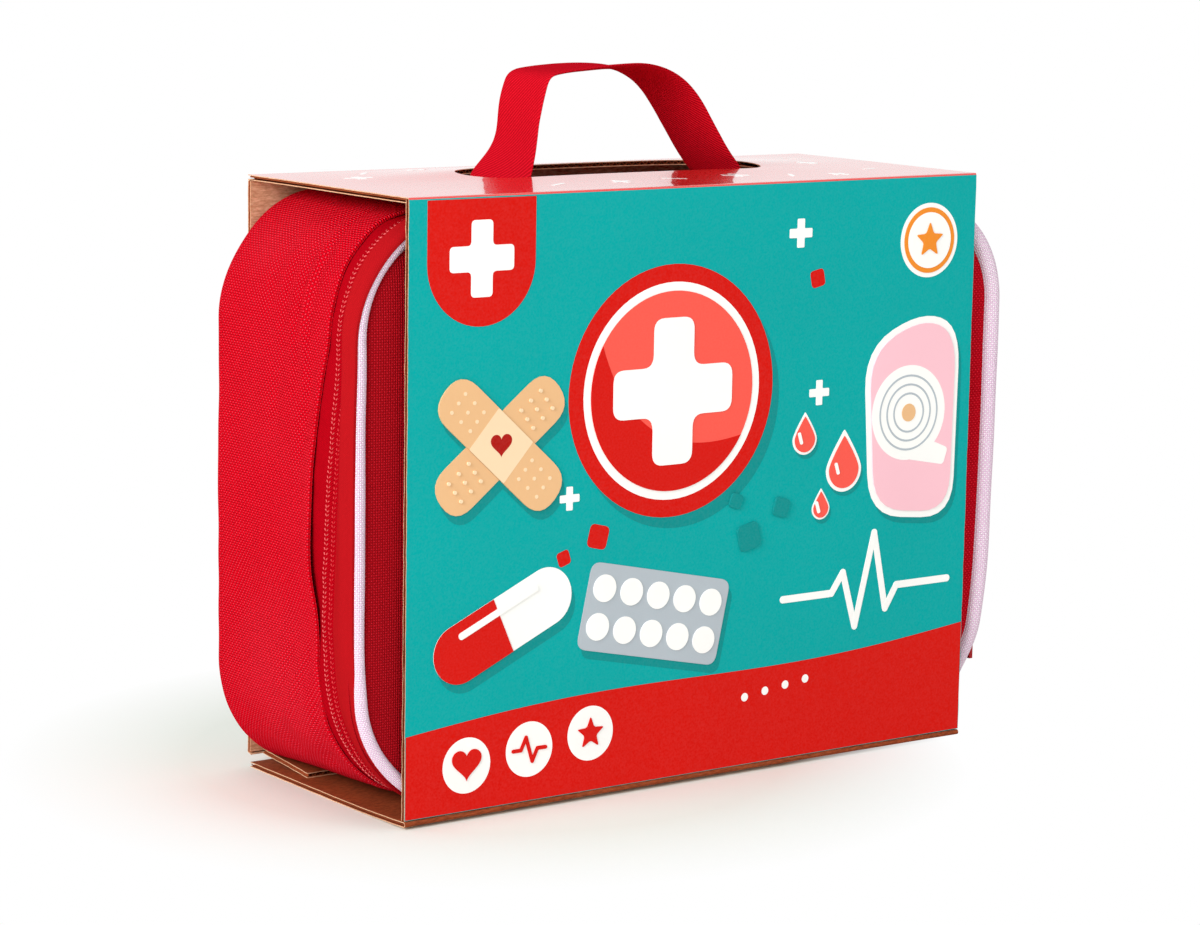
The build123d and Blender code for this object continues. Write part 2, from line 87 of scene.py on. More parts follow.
def add(tree, kind, *inputs, output=0, **settings):
    """Adds a node and gives one of its outputs. The inputs fill its sockets in turn, or by number or name
    where they are pairs, each with a number, a colour or another node's output. Settings are its own."""
    made = tree.nodes.new("ShaderNode" + kind)
    for key, value in settings.items():
        setattr(made, key, value)
    for number, value in enumerate(inputs):
        key, value = value if isinstance(value, tuple) and len(value) == 2 else (number, value)
        if isinstance(value, bpy.types.NodeSocket):
            tree.links.new(value, made.inputs[key])
        else:
            made.inputs[key].default_value = value
    return made.outputs[output]


def finish(name, **sockets):
    """New material: its shader, whose constant sockets are set from the keywords, and a way to add nodes."""
    made = bpy.data.materials.new(name)
    made.use_nodes = True
    shader = made.node_tree.nodes["Principled BSDF"]
    for key, value in sockets.items():
        shader.inputs[key.replace("_", " ")].default_value = value
    return made, shader, partial(add, made.node_tree)


def use(made, shader, base=None, rough=None, height=None, distance=0.1, strength=1.0):
    """Joins a colour, a roughness and a bump height, which is in units of distance in mm, to the shader."""
    links = made.node_tree.links
    for socket, value in (("Base Color", base), ("Roughness", rough)):
        if value is not None:
            links.new(value, shader.inputs[socket])
    if height is not None:
        inputs = ("Strength", strength), ("Distance", distance * MM), ("Height", height)
        links.new(add(made.node_tree, "Bump", *inputs), shader.inputs["Normal"])
    return made


def cloth_map(node):
    """The piece's own map: millimetres along and across the cloth."""
    flat = node("UVMap", uv_map="cloth")
    return node("SeparateXYZ", flat), node("SeparateXYZ", flat, output=1)


# -------------------- materials

MIXED = {"data_type": "RGBA", "output": 2}  # a Mix node's colours, whose sockets are 6 and 7


def woven(name, light, dark, pitch, rough, depth, painted_shade=None):
    """Plain weave: the product of one sine along and one across is a chequer of thread floats, its size
    their height and its sign which thread is on top. The light colour on the tops of the floats is a painted
    sheen over the cloth's own darker colour. painted_shade, where given, is a colour of painted shade that
    the cloth darkens to at its left edge."""
    made, shader, node = finish(name, Specular_IOR_Level=0.0)
    waves = []
    for way in cloth_map(node):
        turned = node("Math", way, pi / pitch, operation="MULTIPLY")
        waves.append(node("Math", turned, operation="SINE"))
    product = node("Math", *waves, operation="MULTIPLY")
    size = node("Math", node("Math", product, operation="ABSOLUTE"), 0.6, operation="POWER")
    fuzz = node("TexNoise", ("Vector", place(node)), ("Scale", 1.3 / MM), ("Detail", 4.0))
    patches = node("TexNoise", ("Vector", place(node)), ("Scale", 0.02 / MM), ("Detail", 2.0))
    top = node("MapRange", product, -0.35, 0.75)
    lit = node("Math", top, node("MapRange", size, 0.2, 0.95), operation="MULTIPLY")
    lit = node("Math", lit, node("MapRange", fuzz, 0.3, 0.65, 0.55, 1.1), operation="MULTIPLY")
    lit = node("Math", lit, node("MapRange", patches, 0.3, 0.7, -0.1, 0.1), operation="ADD")
    # the light colour is a painted sheen on the tops of the floats; the dark one is the cloth's own colour
    base = node("Mix", (0, lit), (6, colour(dark)), (7, colour(light)), **MIXED)
    # painted shade: the cloth darkens towards this colour at its left edge
    if painted_shade:
        inwards = node("MapRange", node("SeparateXYZ", place(node)), *PAINTED_SHADE_SPAN, 0.35, 1.0)
        base = node("Mix", (0, inwards), (6, colour(painted_shade)), (7, base), **MIXED)
    height = node("Math", fuzz, 0.35, size, operation="MULTIPLY_ADD")
    height = node("Math", top, 0.3, height, operation="MULTIPLY_ADD")
    rough = node("MapRange", lit, 0.0, 1.0, rough + 0.12, rough - 0.08)
    return use(made, shader, base, rough, height, depth)


def twilled(name, light, dark, pitch, rough, depth):
    """Twill: ridges that climb at 45 degrees, each broken into the floats of its threads. The ridges'
    tops take the light colour, a painted sheen, and the grooves the darker one, painted shade.
    """
    made, shader, node = finish(name, Specular_IOR_Level=0.0)
    along, across = cloth_map(node)
    heights = []
    for operation, turn in (("ADD", pi / pitch), ("SUBTRACT", 2 * pi / pitch)):
        slant = node("Math", node("Math", along, across, operation=operation), turn, operation="MULTIPLY")
        heights.append(node("MapRange", node("Math", slant, operation="SINE"), -1.0, 1.0))
    fuzz = node("TexNoise", ("Vector", place(node)), ("Scale", 1.6 / MM), ("Detail", 4.0))
    height = node("Math", heights[1], 0.35, heights[0], operation="MULTIPLY_ADD")
    lit = node("MapRange", height, 0.35, 1.2)
    lit = node("Math", lit, node("MapRange", fuzz, 0.3, 0.7, 0.6, 1.05), operation="MULTIPLY")
    # light on the ridges' tops is a painted sheen, dark in the grooves painted shade
    base = node("Mix", (0, lit), (6, colour(dark)), (7, colour(light)), **MIXED)
    rough = node("MapRange", lit, 0.0, 1.0, rough + 0.1, rough - 0.05)
    return use(made, shader, base, rough, height, depth)


def printed_card(name, ink, tooth=0.01, **sockets):
    """Offset print on coated board: an even ink with a fine grain. The board's flutes just show through it
    as faint ridges, and it is a little wavy."""
    made, shader, node = finish(name, **sockets)
    spot = place(node)
    turned = node("Math", node("SeparateXYZ", spot), 2 * pi / (FLUTE * MM), operation="MULTIPLY")
    ridge = node("Math", node("Math", turned, operation="SINE"), 0.25, operation="MULTIPLY")
    soft = node("TexNoise", ("Vector", spot), ("Scale", 0.02 / MM), ("Detail", 1.0))
    grain = node("TexNoise", ("Vector", spot), ("Scale", 1.4 / MM), ("Detail", 3.0))
    share = node("MapRange", grain, 0.3, 0.7, 0.0, 0.012)
    base = node("Mix", (0, share), (6, colour(ink)), (7, colour("#FFFFFF")), **MIXED)
    share = node("MapRange", soft, 0.35, 0.65, 0.0, 0.03)
    base = node("Mix", (0, share), (6, base), (7, colour("#202020")), **MIXED)
    height = node("Math", soft, 8.0, ridge, operation="MULTIPLY_ADD")
    height = node("Math", grain, tooth, height, operation="MULTIPLY_ADD")
    rough = node("MapRange", grain, 0.3, 0.7, sockets["Roughness"] - 0.03, sockets["Roughness"] + 0.03)
    return use(made, shader, base, rough, height, 0.02, 0.4)


inked = partial(printed_card, Roughness=0.5, Specular_IOR_Level=0.03)
varnished = partial(
    printed_card, tooth=0.0, Roughness=0.28, Specular_IOR_Level=0.5, Coat_Weight=0.9, Coat_Roughness=0.05,
    Coat_IOR=1.5,
)


def kraft(name, light, dark):
    """Unbleached kraft paper: brown, with pale and dark fibres and soft clouding, quite matt."""
    made, shader, node = finish(name, Roughness=0.82, Specular_IOR_Level=0.12)
    drawn = node("Mapping", place(node), ("Scale", (0.25, 1.0, 1.0)))
    fibre = node("TexNoise", ("Vector", drawn), ("Scale", 1.8 / MM), ("Detail", 5.0), ("Roughness", 0.65))
    cloud = node("TexNoise", ("Vector", place(node)), ("Scale", 0.06 / MM), ("Detail", 3.0))
    share = node("MapRange", fibre, 0.35, 0.7)
    share = node("Math", share, node("MapRange", cloud, 0.3, 0.7, -0.15, 0.2), operation="ADD")
    base = node("Mix", (0, share), (6, colour(dark)), (7, colour(light)), **MIXED)
    return use(made, shader, base, None, fibre, 0.08)


def smooth_coat(name, tint, rough, bumps, depth, **sockets):
    """Even colour with slight clouding and a fine texture: orange peel of bumps of about that many mm on
    sprayed lacquer and enamel, or the satin skin of moulded plastic, vinyl and ink."""
    made, shader, node = finish(name, **sockets)
    peel = node("TexNoise", ("Vector", place(node)), ("Scale", 1 / (bumps * MM)), ("Detail", 2.0))
    cloud = node("TexNoise", ("Vector", place(node)), ("Scale", 0.05 / MM), ("Detail", 2.0))
    share = node("MapRange", cloud, 0.3, 0.7, 0.0, 0.08)
    base = node("Mix", (0, share), (6, colour(tint)), (7, colour("#202020")), **MIXED)
    rough = node("MapRange", peel, 0.3, 0.7, rough - 0.04, rough + 0.07)
    return use(made, shader, base, rough, peel, depth, 0.5)


lacquered = partial(smooth_coat, rough=0.2, bumps=2.0, depth=0.05, Coat_Weight=0.5, Coat_Roughness=0.06)
moulded = partial(smooth_coat, rough=0.35, bumps=0.8, depth=0.02)
vinyl = partial(
    smooth_coat, rough=0.3, bumps=1.2, depth=0.02, Subsurface_Weight=0.2, Subsurface_Scale=0.0015
)


def fibrous(name, light, dark, scale, depth, rough=0.9, **sockets):
    """Tangled fine fibres with soft clumps, quite matt, as on felt, foam and uncoated paper."""
    made, shader, node = finish(name, Roughness=rough, **sockets)
    fineness = ("Scale", scale / MM), ("Detail", 7.0), ("Roughness", 0.72)
    tangle = node("TexNoise", ("Vector", place(node)), *fineness)
    clumps = node("TexNoise", ("Vector", place(node)), ("Scale", 0.12 / MM), ("Detail", 3.0))
    share = node("MapRange", tangle, 0.3, 0.7)
    share = node("Math", share, node("MapRange", clumps, 0.3, 0.7, -0.25, 0.25), operation="ADD")
    base = node("Mix", (0, share), (6, colour(dark)), (7, colour(light)), **MIXED)
    return use(made, shader, base, None, tangle, depth)


def beech():
    """Clear-lacquered beech: pale brown, long soft growth bands and short dark flecks along the grain."""
    made, shader, node = finish("beech_wood", Roughness=0.42, Coat_Weight=0.25, Coat_Roughness=0.2)
    drawn = node("Mapping", place(node), ("Scale", (1.0, 1.0, 0.08)))
    bands = node("TexNoise", ("Vector", drawn), ("Scale", 0.22 / MM), ("Detail", 3.0), ("Roughness", 0.6))
    flecks = node("TexNoise", ("Vector", drawn), ("Scale", 1.4 / MM), ("Detail", 2.0), ("Roughness", 0.6))
    tones = (0, node("MapRange", bands, 0.3, 0.7)), (6, colour("#D9AE7C")), (7, colour("#EBCB9E"))
    base = node("Mix", *tones, **MIXED)
    share = node("MapRange", flecks, 0.62, 0.72, 0.0, 0.45)
    base = node("Mix", (0, share), (6, base), (7, colour("#A9763F")), **MIXED)
    return use(made, shader, base, None, flecks, 0.04, 0.5)


def clear_acrylic():
    """Clear acrylic button: glossy and see-through, with the faintest haze."""
    tint = colour("#F3F7F8")
    made, shader, node = finish("clear_acrylic", IOR=1.49, Transmission_Weight=0.92, Base_Color=tint)
    haze = node("TexNoise", ("Vector", place(node)), ("Scale", 0.3 / MM), ("Detail", 2.0))
    return use(made, shader, None, node("MapRange", haze, 0.3, 0.7, 0.04, 0.12))


def place(node):
    """Where a point is on the object."""
    return node("TexCoord", output="Object")


FLUTE = 3.0  # spacing of the board's waves
THREAD = 0.86  # spacing of the oxford cloth's threads
PAINTED_SHADE_SPAN = -118 * MM, -98 * MM  # places along X between which the painted shade at the lid cloth's left edge fades out

INKS = {
    "teal": "#00A09F", "red": "#CE1208", "white": "#F4F4F2", "deep_teal": "#0A8A89", "tan": "#E3B585",
    "pale_tan": "#F0D3AE", "pink": "#F3BFCB", "grey": "#AEB7BF", "orange": "#E98A2B",
    "deep_red": "#A8150F", "bright_red": "#F0584C",
}  # fmt: skip
MATERIALS = {
    "glossy_red": varnished("varnished_red", "#DB231B"),
    "glossy_white": varnished("varnished_white", "#F4F4F2"),
    # reddish dark brown: partly the kraft's own brown, partly painted shade and painted red light thrown
    # back from the case
    "kraft": kraft("kraft_inside", "#A04C28", "#6E3016"),
    # still darker kraft for the back panel's inside: painted shade
    "shaded_kraft": kraft("kraft_back_liner", "#64290F", "#3E180A"),
    "cut_kraft": kraft("kraft_cut_edge", "#E8BE9C", "#BA8460"),
    "grey_board": kraft("grey_board", "#B9B6B0", "#8F8B84"),
    "oxford": woven("red_oxford_polyester", "#FF4458", "#F00820", THREAD, 0.5, 0.9),
    # the lid's cloth is the body's oxford with painted shade: a deeper red, and darker still at its left
    # edge
    "lid_oxford": woven("lid_oxford_polyester", "#FF3044", "#D20C1E", THREAD, 0.5, 0.6, "#8E1218"),
    "tape": twilled("red_zip_tape", "#BC0718", "#920410", 0.42, 0.5, 0.12),
    "webbing": twilled("red_polyester_webbing", "#D8162A", "#AA0B18", 0.75, 0.5, 0.20),
    # the cord's cover is white; the pink-lilac of its dark tone is painted shade and painted red light
    # thrown back from the case
    "piping": woven("white_piping_cloth", "#FFFFFF", "#EACBE4", 0.75, 0.6, 0.25),
    "binding": woven("red_nylon_binding", "#B4161C", "#9C1117", 0.35, 0.42, 0.04),
    "lining": woven("red_taffeta_lining", "#C8202A", "#9E0F18", 0.4, 0.42, 0.05),
    "stitch": moulded("light_sewing_thread", "#DE5A5C", rough=0.5),
    "red_stitch": moulded("red_sewing_thread", "#D0202A", rough=0.55),
    "coil": moulded("red_nylon_coil", "#C4101B", rough=0.3),
    "enamel": lacquered(
        "red_enamelled_zinc", "#A80814", rough=0.36, Coat_Weight=0.1, Specular_IOR_Level=0.15
    ),
    "foam": fibrous("foam_board", "#F0EEE9", "#C9C7C2", 1.2, 0.1),
    "paper": fibrous("pad_paper", "#FBFAF7", "#EFEEEA", 1.1, 0.03, 0.8, Specular_IOR_Level=0.3),
    "felt": fibrous(
        "white_felt", "#FAF9F6", "#D9D6D2", 1.5, 0.5, 0.95, Sheen_Weight=0.4, Sheen_Roughness=0.5
    ),
    "beech": beech(),
    "red_lacquer": lacquered("red_lacquer", "#CF1D18"),
    "white_lacquer": lacquered("white_lacquer", "#F3F2EE"),
    "grey_lacquer": lacquered("grey_lacquer", "#A9AAB2"),
    "silver_lacquer": lacquered("silver_lacquer", "#A7ABAF", rough=0.3),
    "clear": clear_acrylic(),
    "rope": twilled("white_polyester_rope", "#F6F5F2", "#C9C6C2", 0.4, 0.6, 0.12),
    "white_vinyl": vinyl("white_vinyl", "#F1F1EE"),
    "pink_vinyl": vinyl("pink_vinyl", "#F2C6C4"),
    "red_vinyl": vinyl("red_vinyl", "#C41B1E", rough=0.22),
    "ink": moulded("screen_ink_red", "#C5221C", rough=0.5),
    "white_ink": moulded("screen_ink_white", "#F7F7F5", rough=0.5),
    "dark_ink": moulded("printing_ink_grey", "#5B6066", rough=0.6),
}
MATERIALS.update({name: inked("print_" + name, code) for name, code in INKS.items()})


# -------------------- meshes


def piece(name, points, faces, finishes, body, uv=None, which=None, slot=None, stands_for=(), sharp=35):
    """Closed mesh from points in millimetres that rides on a body. uv holds a pair of millimetres for each
    face's corner in turn, and which the number of each face's finish."""
    mesh = bpy.data.meshes.new(name)
    mesh.from_pydata((np.asarray(points, float) * MM).tolist(), [], [list(map(int, f)) for f in faces])
    finishes = [finishes] if isinstance(finishes, str) else finishes
    for each in finishes:
        mesh.materials.append(MATERIALS[each])
    if which is not None:
        mesh.polygons.foreach_set("material_index", np.asarray(which, np.int32))
    if uv is not None:
        layer = mesh.uv_layers.new(name="cloth")
        layer.data.foreach_set("uv", np.asarray(uv, np.float32).ravel())
    work = bmesh.new()
    work.from_mesh(mesh)
    bmesh.ops.recalc_face_normals(work, faces=work.faces[:])
    work.to_mesh(mesh)
    work.free()
    mesh.polygons.foreach_set("use_smooth", np.ones(len(mesh.polygons), bool))
    mesh.set_sharp_from_angle(angle=radians(sharp))
    made = bpy.data.objects.new(name, mesh)
    bpy.context.scene.collection.objects.link(made)
    if body:
        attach(made, body)
    if stands_for:
        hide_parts(*stands_for)
    return made


def grid_faces(rows, columns, ring_rows=False, ring_columns=False):
    """Quads of a grid stored row by row; a ring joins its last row or column to the first. Also gives the
    row and column of each quad's corners, unwrapped, for its map."""
    r, c = np.meshgrid(
        np.arange(rows if ring_rows else rows - 1),
        np.arange(columns if ring_columns else columns - 1),
        indexing="ij",
    )
    r4 = np.stack([r, r, r + 1, r + 1], -1).reshape(-1, 4)
    c4 = np.stack([c, c + 1, c + 1, c], -1).reshape(-1, 4)
    return (r4 % rows) * columns + c4 % columns, r4, c4


def rim_lines(rows, columns, ring):
    """Lines of point numbers along a grid's open edges: its first and last column and, unless its rows
    close, its first and last row."""
    walk = np.arange(rows + ring) % rows * columns
    lines = [walk, walk + columns - 1]
    return lines if ring else [*lines, np.arange(columns), (rows - 1) * columns + np.arange(columns)]


def rim_quads(line, size):
    """Quads from a line of point numbers to the same line of a second grid, size numbers on."""
    return np.stack([line[:-1], line[1:], line[1:] + size, line[:-1] + size], -1)


def grid(*coordinates):
    """Points, or pairs for a map, from coordinates that are spread to each other's shape."""
    return np.stack(np.broadcast_arrays(*coordinates), -1)


def loft(name, loops, along, across, finishes, body, ring=False, **more):
    """Closed skin through closed loops, an array of loop by point by xyz. along gives each loop's distance
    and across each point's, both with one more entry than there are loops or points where they close."""
    rows, columns = loops.shape[:2]
    quads, r4, c4 = grid_faces(rows, columns, ring, True)
    uv = np.stack([np.asarray(along)[r4], np.broadcast_to(across, (rows + 1, columns + 1))[r4, c4]], -1)
    faces, uv = quads.tolist(), uv.reshape(-1, 2)
    if not ring:
        for row in (0, rows - 1):
            faces.append([row * columns + c for c in range(columns)])
            flat = loops[row][:, [0, 2]] if np.ptp(loops[row][:, 1]) < 1 else loops[row][:, :2]
            uv = np.concatenate([uv, flat])
    return piece(name, loops.reshape(-1, 3), faces, finishes, body, uv=uv, **more)


def slab(name, front, back, uv, finishes, body, ring=False, edges=None, which=None, **more):
    """Thin sheet between two grids of points, closed by quads round its rim. uv is a pair for each point of
    the front grid, with one more row where it is a ring. edges is the number of the rim's finish."""
    rows, columns = front.shape[:2]
    points = np.concatenate([front.reshape(-1, 3), back.reshape(-1, 3)])
    quads, r4, c4 = grid_faces(rows, columns, ring)
    size = rows * columns
    faces, maps = [quads, quads[:, ::-1] + size], [uv[r4, c4], uv[r4, c4][:, ::-1]]
    face_kind = np.zeros(len(quads), int) if which is None else np.asarray(which)[r4[:, 0]]
    kinds = [face_kind, np.full(len(quads), edges or 0)]
    rim_maps = [uv[: rows + ring, 0], uv[: rows + ring, -1], uv[0], uv[-1]]
    for line, rim in zip(rim_lines(rows, columns, ring), rim_maps):
        faces.append(rim_quads(line, size))
        maps.append(np.stack([rim[:-1], rim[1:], rim[1:] + 0.3, rim[:-1] + 0.3], 1))
        kinds.append(np.full(len(line) - 1, edges or 0))
    kinds = None if which is None and edges is None else np.concatenate(kinds)
    faces, maps = np.concatenate(faces), np.concatenate(maps).reshape(-1, 2)
    return piece(name, points, faces, finishes, body, uv=maps, which=kinds, **more)


def plates(name, outlines, lift, thickness, surface, finishes, body, **more):
    """Thin printed shapes: each outline is a closed line of points on a surface, raised by lift. surface
    takes the two flat coordinates and a height above it and gives xyz."""
    points, faces, start = [], [], 0
    for line in outlines:
        line = np.asarray(line, float)
        count = len(line)
        top = surface(line[:, 0], line[:, 1], lift)
        foot = surface(line[:, 0], line[:, 1], lift - thickness)
        points += [top, foot]
        around = np.arange(count)
        after = (around + 1) % count
        faces.append((start + around).tolist())
        faces.append((start + count + around[::-1]).tolist())
        faces += (start + np.stack([around, after, after + count, around + count], -1)).tolist()
        start += 2 * count
    uv = np.concatenate([np.concatenate(points)[f][:, [0, 2]] for f in faces])
    return piece(name, np.concatenate(points), faces, finishes, body, uv=uv, **more)


def smooth_steps(x):
    """Rise from 0 to 1 over x from 0 to 1, by the cubic that is level at both ends."""
    x = np.clip(x, 0, 1)
    return x * x * (3 - 2 * x)


def bump_at(x, middle, width):
    """Bell of height 1."""
    return np.exp(-(((x - middle) / width) ** 2) / 2)


def ripples(a, b, size, seed):
    """Smooth unevenness of about unit height: six plane waves of about that wavelength."""
    draw = np.random.default_rng(seed)
    total = 0
    for angle, phase, stretch in zip(draw.random(6) * 2 * pi, draw.random(6) * 2 * pi, draw.random(6)):
        length = size * (0.7 + 0.8 * stretch)
        total = total + np.sin(2 * pi * (a * cos(angle) + b * sin(angle)) / length + phase)
    return total / 3


def walked(points):
    """Distance along a line of points."""
    return np.concatenate([[0], np.cumsum(np.linalg.norm(np.diff(points, axis=0), axis=1))])


# -------------------- camera, light and floor

CAMERA_AT = (-711.7, -967.05, 300.7)
CAMERA_YAW, CAMERA_PITCH, CAMERA_ROLL = 0.6297, 0.1622, 0.0167
CAMERA_LENS, SENSOR = 103.65, 36.0
AMBIENT = 0.78
FLOOR_HALF = 6.0  # half the floor's side in metres
PAINTED_SHADE_MIDDLE = (-0.04, 0.02, 0.0)  # round this place the floor is painted pale grey as shade, and it turns white between these distances
FLOOR_FADE = 0.105, 0.17
LIGHTS = (  # place and aim, then the disc's size and its power, in metres and watts
    ("key", (-1500, -500, 800), (-100, 0, 100), 0.9, 26),
    ("fill", (500, -1500, 700), (0, 0, 100), 1.2, 3),
)


def stand(name, data, axes, at):
    """Object in the scene, turned so that its axes are the columns of axes, and moved to a place."""
    made = bpy.data.objects.new(name, data)
    made.matrix_world = Matrix([[*row, p * MM] for row, p in zip(axes.tolist(), at)] + [[0, 0, 0, 1]])
    bpy.context.scene.collection.objects.link(made)
    return made


def make_camera():
    """Looks along yaw, from +Y towards +X, and down by pitch; the roll turns it about its own axis."""
    yaw, pitch, roll = CAMERA_YAW, CAMERA_PITCH, CAMERA_ROLL
    ahead = np.array([sin(yaw) * cos(pitch), cos(yaw) * cos(pitch), -sin(pitch)])
    level = np.array([cos(yaw), -sin(yaw), 0.0])
    upright = np.cross(level, ahead)
    right = level * cos(roll) + upright * sin(roll)
    up = upright * cos(roll) - level * sin(roll)
    data = bpy.data.cameras.new("camera")
    data.sensor_width, data.lens = SENSOR, CAMERA_LENS
    data.clip_start, data.clip_end = 0.05, 20.0
    bpy.context.scene.camera = stand("camera", data, np.stack([right, up, -ahead], 1), CAMERA_AT)


def area_light(name, at, aim, size, power):
    """Disc of light at a place, turned to its aim."""
    data = bpy.data.lights.new(name, "AREA")
    data.shape, data.size, data.energy = "DISK", size, power
    z = np.array(at, float) - aim
    z /= np.linalg.norm(z)
    x = np.cross([0, 0, 1], z)
    x /= np.linalg.norm(x)
    stand(name, data, np.stack([x, np.cross(z, x), z], 1), at)


def rays(node, *kinds):
    """1 for the rays that are of any of these kinds, and 0 for others."""
    share = 0.0
    for kind in kinds:
        share = node("Math", share, node("LightPath", output=kind), operation="MAXIMUM")
    return share


def make_stage():
    """White world for the eye and for gloss, plain light for the rest; a floor painted pale grey near the
    object as painted shade, which keeps the cast shadow and fades to white away from the object."""
    world = bpy.data.worlds.new("studio")
    bpy.context.scene.world = world
    world.use_nodes = True
    world.node_tree.nodes.clear()
    node = partial(add, world.node_tree)
    shown = rays(node, "Is Camera Ray", "Is Glossy Ray", "Is Transmission Ray")
    lit = node("Background", (1, 0.985, 0.97, 1), AMBIENT)
    white = node("Background", (1, 1, 1, 1), 1.0)
    node("OutputWorld", node("MixShader", shown, lit, white), output=slice(0))

    mesh = bpy.data.meshes.new("floor")
    ends = [(FLOOR_HALF * x, FLOOR_HALF * y, 0) for x, y in ((-1, -1), (1, -1), (1, 1), (-1, 1))]
    mesh.from_pydata(ends, [], [(0, 1, 2, 3)])
    floor = bpy.data.objects.new("floor", mesh)
    bpy.context.scene.collection.objects.link(floor)
    made = bpy.data.materials.new("painted_floor")
    made.use_nodes = True
    made.node_tree.nodes.clear()
    node = partial(add, made.node_tree)
    from_middle = node("VectorMath", place(node), (1, PAINTED_SHADE_MIDDLE), operation="SUBTRACT")
    reach = node("VectorMath", from_middle, operation="LENGTH", output="Value")
    seen = rays(node, "Is Camera Ray", "Is Glossy Ray")
    seen = node("Math", seen, node("MapRange", reach, *FLOOR_FADE), operation="MULTIPLY")
    # pale grey paint near the object: painted shade
    paint = node("BsdfDiffuse", colour("#E6E7E1"))
    white = node("Emission", (1, 1, 1, 1), 1.0)
    node("OutputMaterial", node("MixShader", seen, paint, white), output=slice(0))
    mesh.materials.append(made)
    bpy.context.scene.view_settings.view_transform = "Standard"


make_camera()
make_stage()
for light in LIGHTS:
    area_light(*light)


# -------------------- cords

steth_y = corners("stethoscope_tube")[0][1] + 3.5
floor_inside = corners("lid_hinge_strip")[1][2]
rest_z = floor_inside + 0.3
ferrule_z = rest_z + 4.2
bulb_end_x = corners("bulb_nozzle")[1][0]
gauge_low, gauge_high = corners("gauge_block")
ferrule_y = (gauge_low[1] + gauge_high[1]) / 2
ferrules_low, ferrules_high = corners("gauge_ferrules")
pump_y = -29.9
port_x = 76.0
rope_z = floor_inside + 2.55
tube_floor = floor_inside + 3.8

ROPE_SHORT = (
    (bulb_end_x, -24.5, rest_z + 14.0), (-53.2, -24.5, rest_z + 14.0), (-45.8, -25.2, 17.4),
    (-39.2, -26.0, 12.6), (-32.0, -25.8, rope_z + 0.6), (-24.4, -24.0, rope_z + 0.3),
    (-17.8, ferrule_y, ferrule_z), (ferrules_low[0], ferrule_y, ferrule_z),
)  # fmt: skip
ROPE_LONG = (
    (ferrules_high[0], ferrule_y, ferrule_z), (37.2, ferrule_y, ferrule_z), (43.6, -25.0, 9.6),
    (48.3, -30.2, rope_z), (54.8, -33.1, rope_z + 0.1), (62.0, -33.0, rope_z), (68.6, pump_y, ferrule_z),
    (port_x, pump_y, ferrule_z),
)  # fmt: skip
TUBE = (
    (-60.0, steth_y, 121.0), (-63.6, steth_y, 98.0), (-66.6, steth_y, 71.0), (-65.0, steth_y, 46.0),
    (-53.4, steth_y, 23.4), (-31.0, steth_y, tube_floor), (-6.4, steth_y, tube_floor),
    (16.0, steth_y, 22.6), (29.0, steth_y, 44.6), (29.0, steth_y, 66.0),
)  # fmt: skip


def spline(name, route):
    """Curve of one smooth spline that has the route's points as its control points."""
    data = bpy.data.curves.new(name, "CURVE")
    data.dimensions = "3D"
    line = data.splines.new("NURBS")
    line.points.add(len(route) - 1)
    for point, at in zip(line.points, route):
        point.co = (*(np.array(at) * MM), 1.0)
    line.order_u = 3
    line.use_endpoint_u = True
    data.resolution_u = 16
    return bpy.data.objects.new(name, data)


def spline_line(route):
    """Points of the route's smooth spline, in millimetres."""
    bare = spline("bare_line", route)
    mesh = bpy.data.meshes.new_from_object(bare)
    line = np.array([v.co for v in mesh.vertices]) / MM
    bpy.data.meshes.remove(mesh)
    bpy.data.curves.remove(bare.data)
    return line


def frames_along(line):
    """Directions across a line that don't twist: each is the last one, kept square to the new tangent."""
    tangent = np.gradient(line, axis=0)
    tangent /= np.linalg.norm(tangent, axis=1)[:, None]
    side = np.cross(tangent[0], [0.0, 1.0, 0.3])
    sides = []
    for t in tangent:
        side = side - t * (side @ t)
        side /= np.linalg.norm(side)
        sides.append(side)
    sides = np.array(sides)
    return tangent, sides, np.cross(tangent, sides)


def rope(name, route, diameter, body, node, strands=3, turn=13.0, corner_count=12):
    """Laid rope: round strands, each a helix about the spline's line that takes turn mm for a turn. A
    strand's section has corner_count corners."""
    raw = spline_line(route)
    along = walked(raw)
    steps = np.linspace(0, along[-1], int(along[-1] / 0.7) + 1)
    line = np.stack([np.interp(steps, along, raw[:, k]) for k in range(3)], 1)
    tangent, side, other = frames_along(line)
    strand = diameter * 0.245
    around = np.linspace(0, 2 * pi, corner_count, endpoint=False)
    cosines, sines = np.cos(around)[:, None], np.sin(around)[:, None]
    points, faces, maps = [], [], []
    for k in range(strands):
        angle = 2 * pi * (steps / turn + k / strands)
        out = side * np.cos(angle)[:, None] + other * np.sin(angle)[:, None]
        middle = line + out * (diameter / 2 - strand)
        ring = out[:, None] * cosines + np.cross(tangent, out)[:, None] * sines
        loops = middle[:, None] + ring * strand
        quads, r4, c4 = grid_faces(len(steps), corner_count, False, True)
        start = k * len(steps) * corner_count
        points.append(loops.reshape(-1, 3))
        faces += (quads + start).tolist()
        maps.append(np.stack([steps[r4], c4 * 2 * pi * strand / corner_count], -1).reshape(-1, 2))
        for row in (0, len(steps) - 1):
            faces.append([start + row * corner_count + c for c in range(corner_count)])
            maps.append(np.zeros((corner_count, 2)))
    made = piece(
        name, np.concatenate(points), faces, "rope", body, uv=np.concatenate(maps), stands_for=[node],
        slot="white_rope", sharp=80,
    )
    [x * MM for x in route[0]]


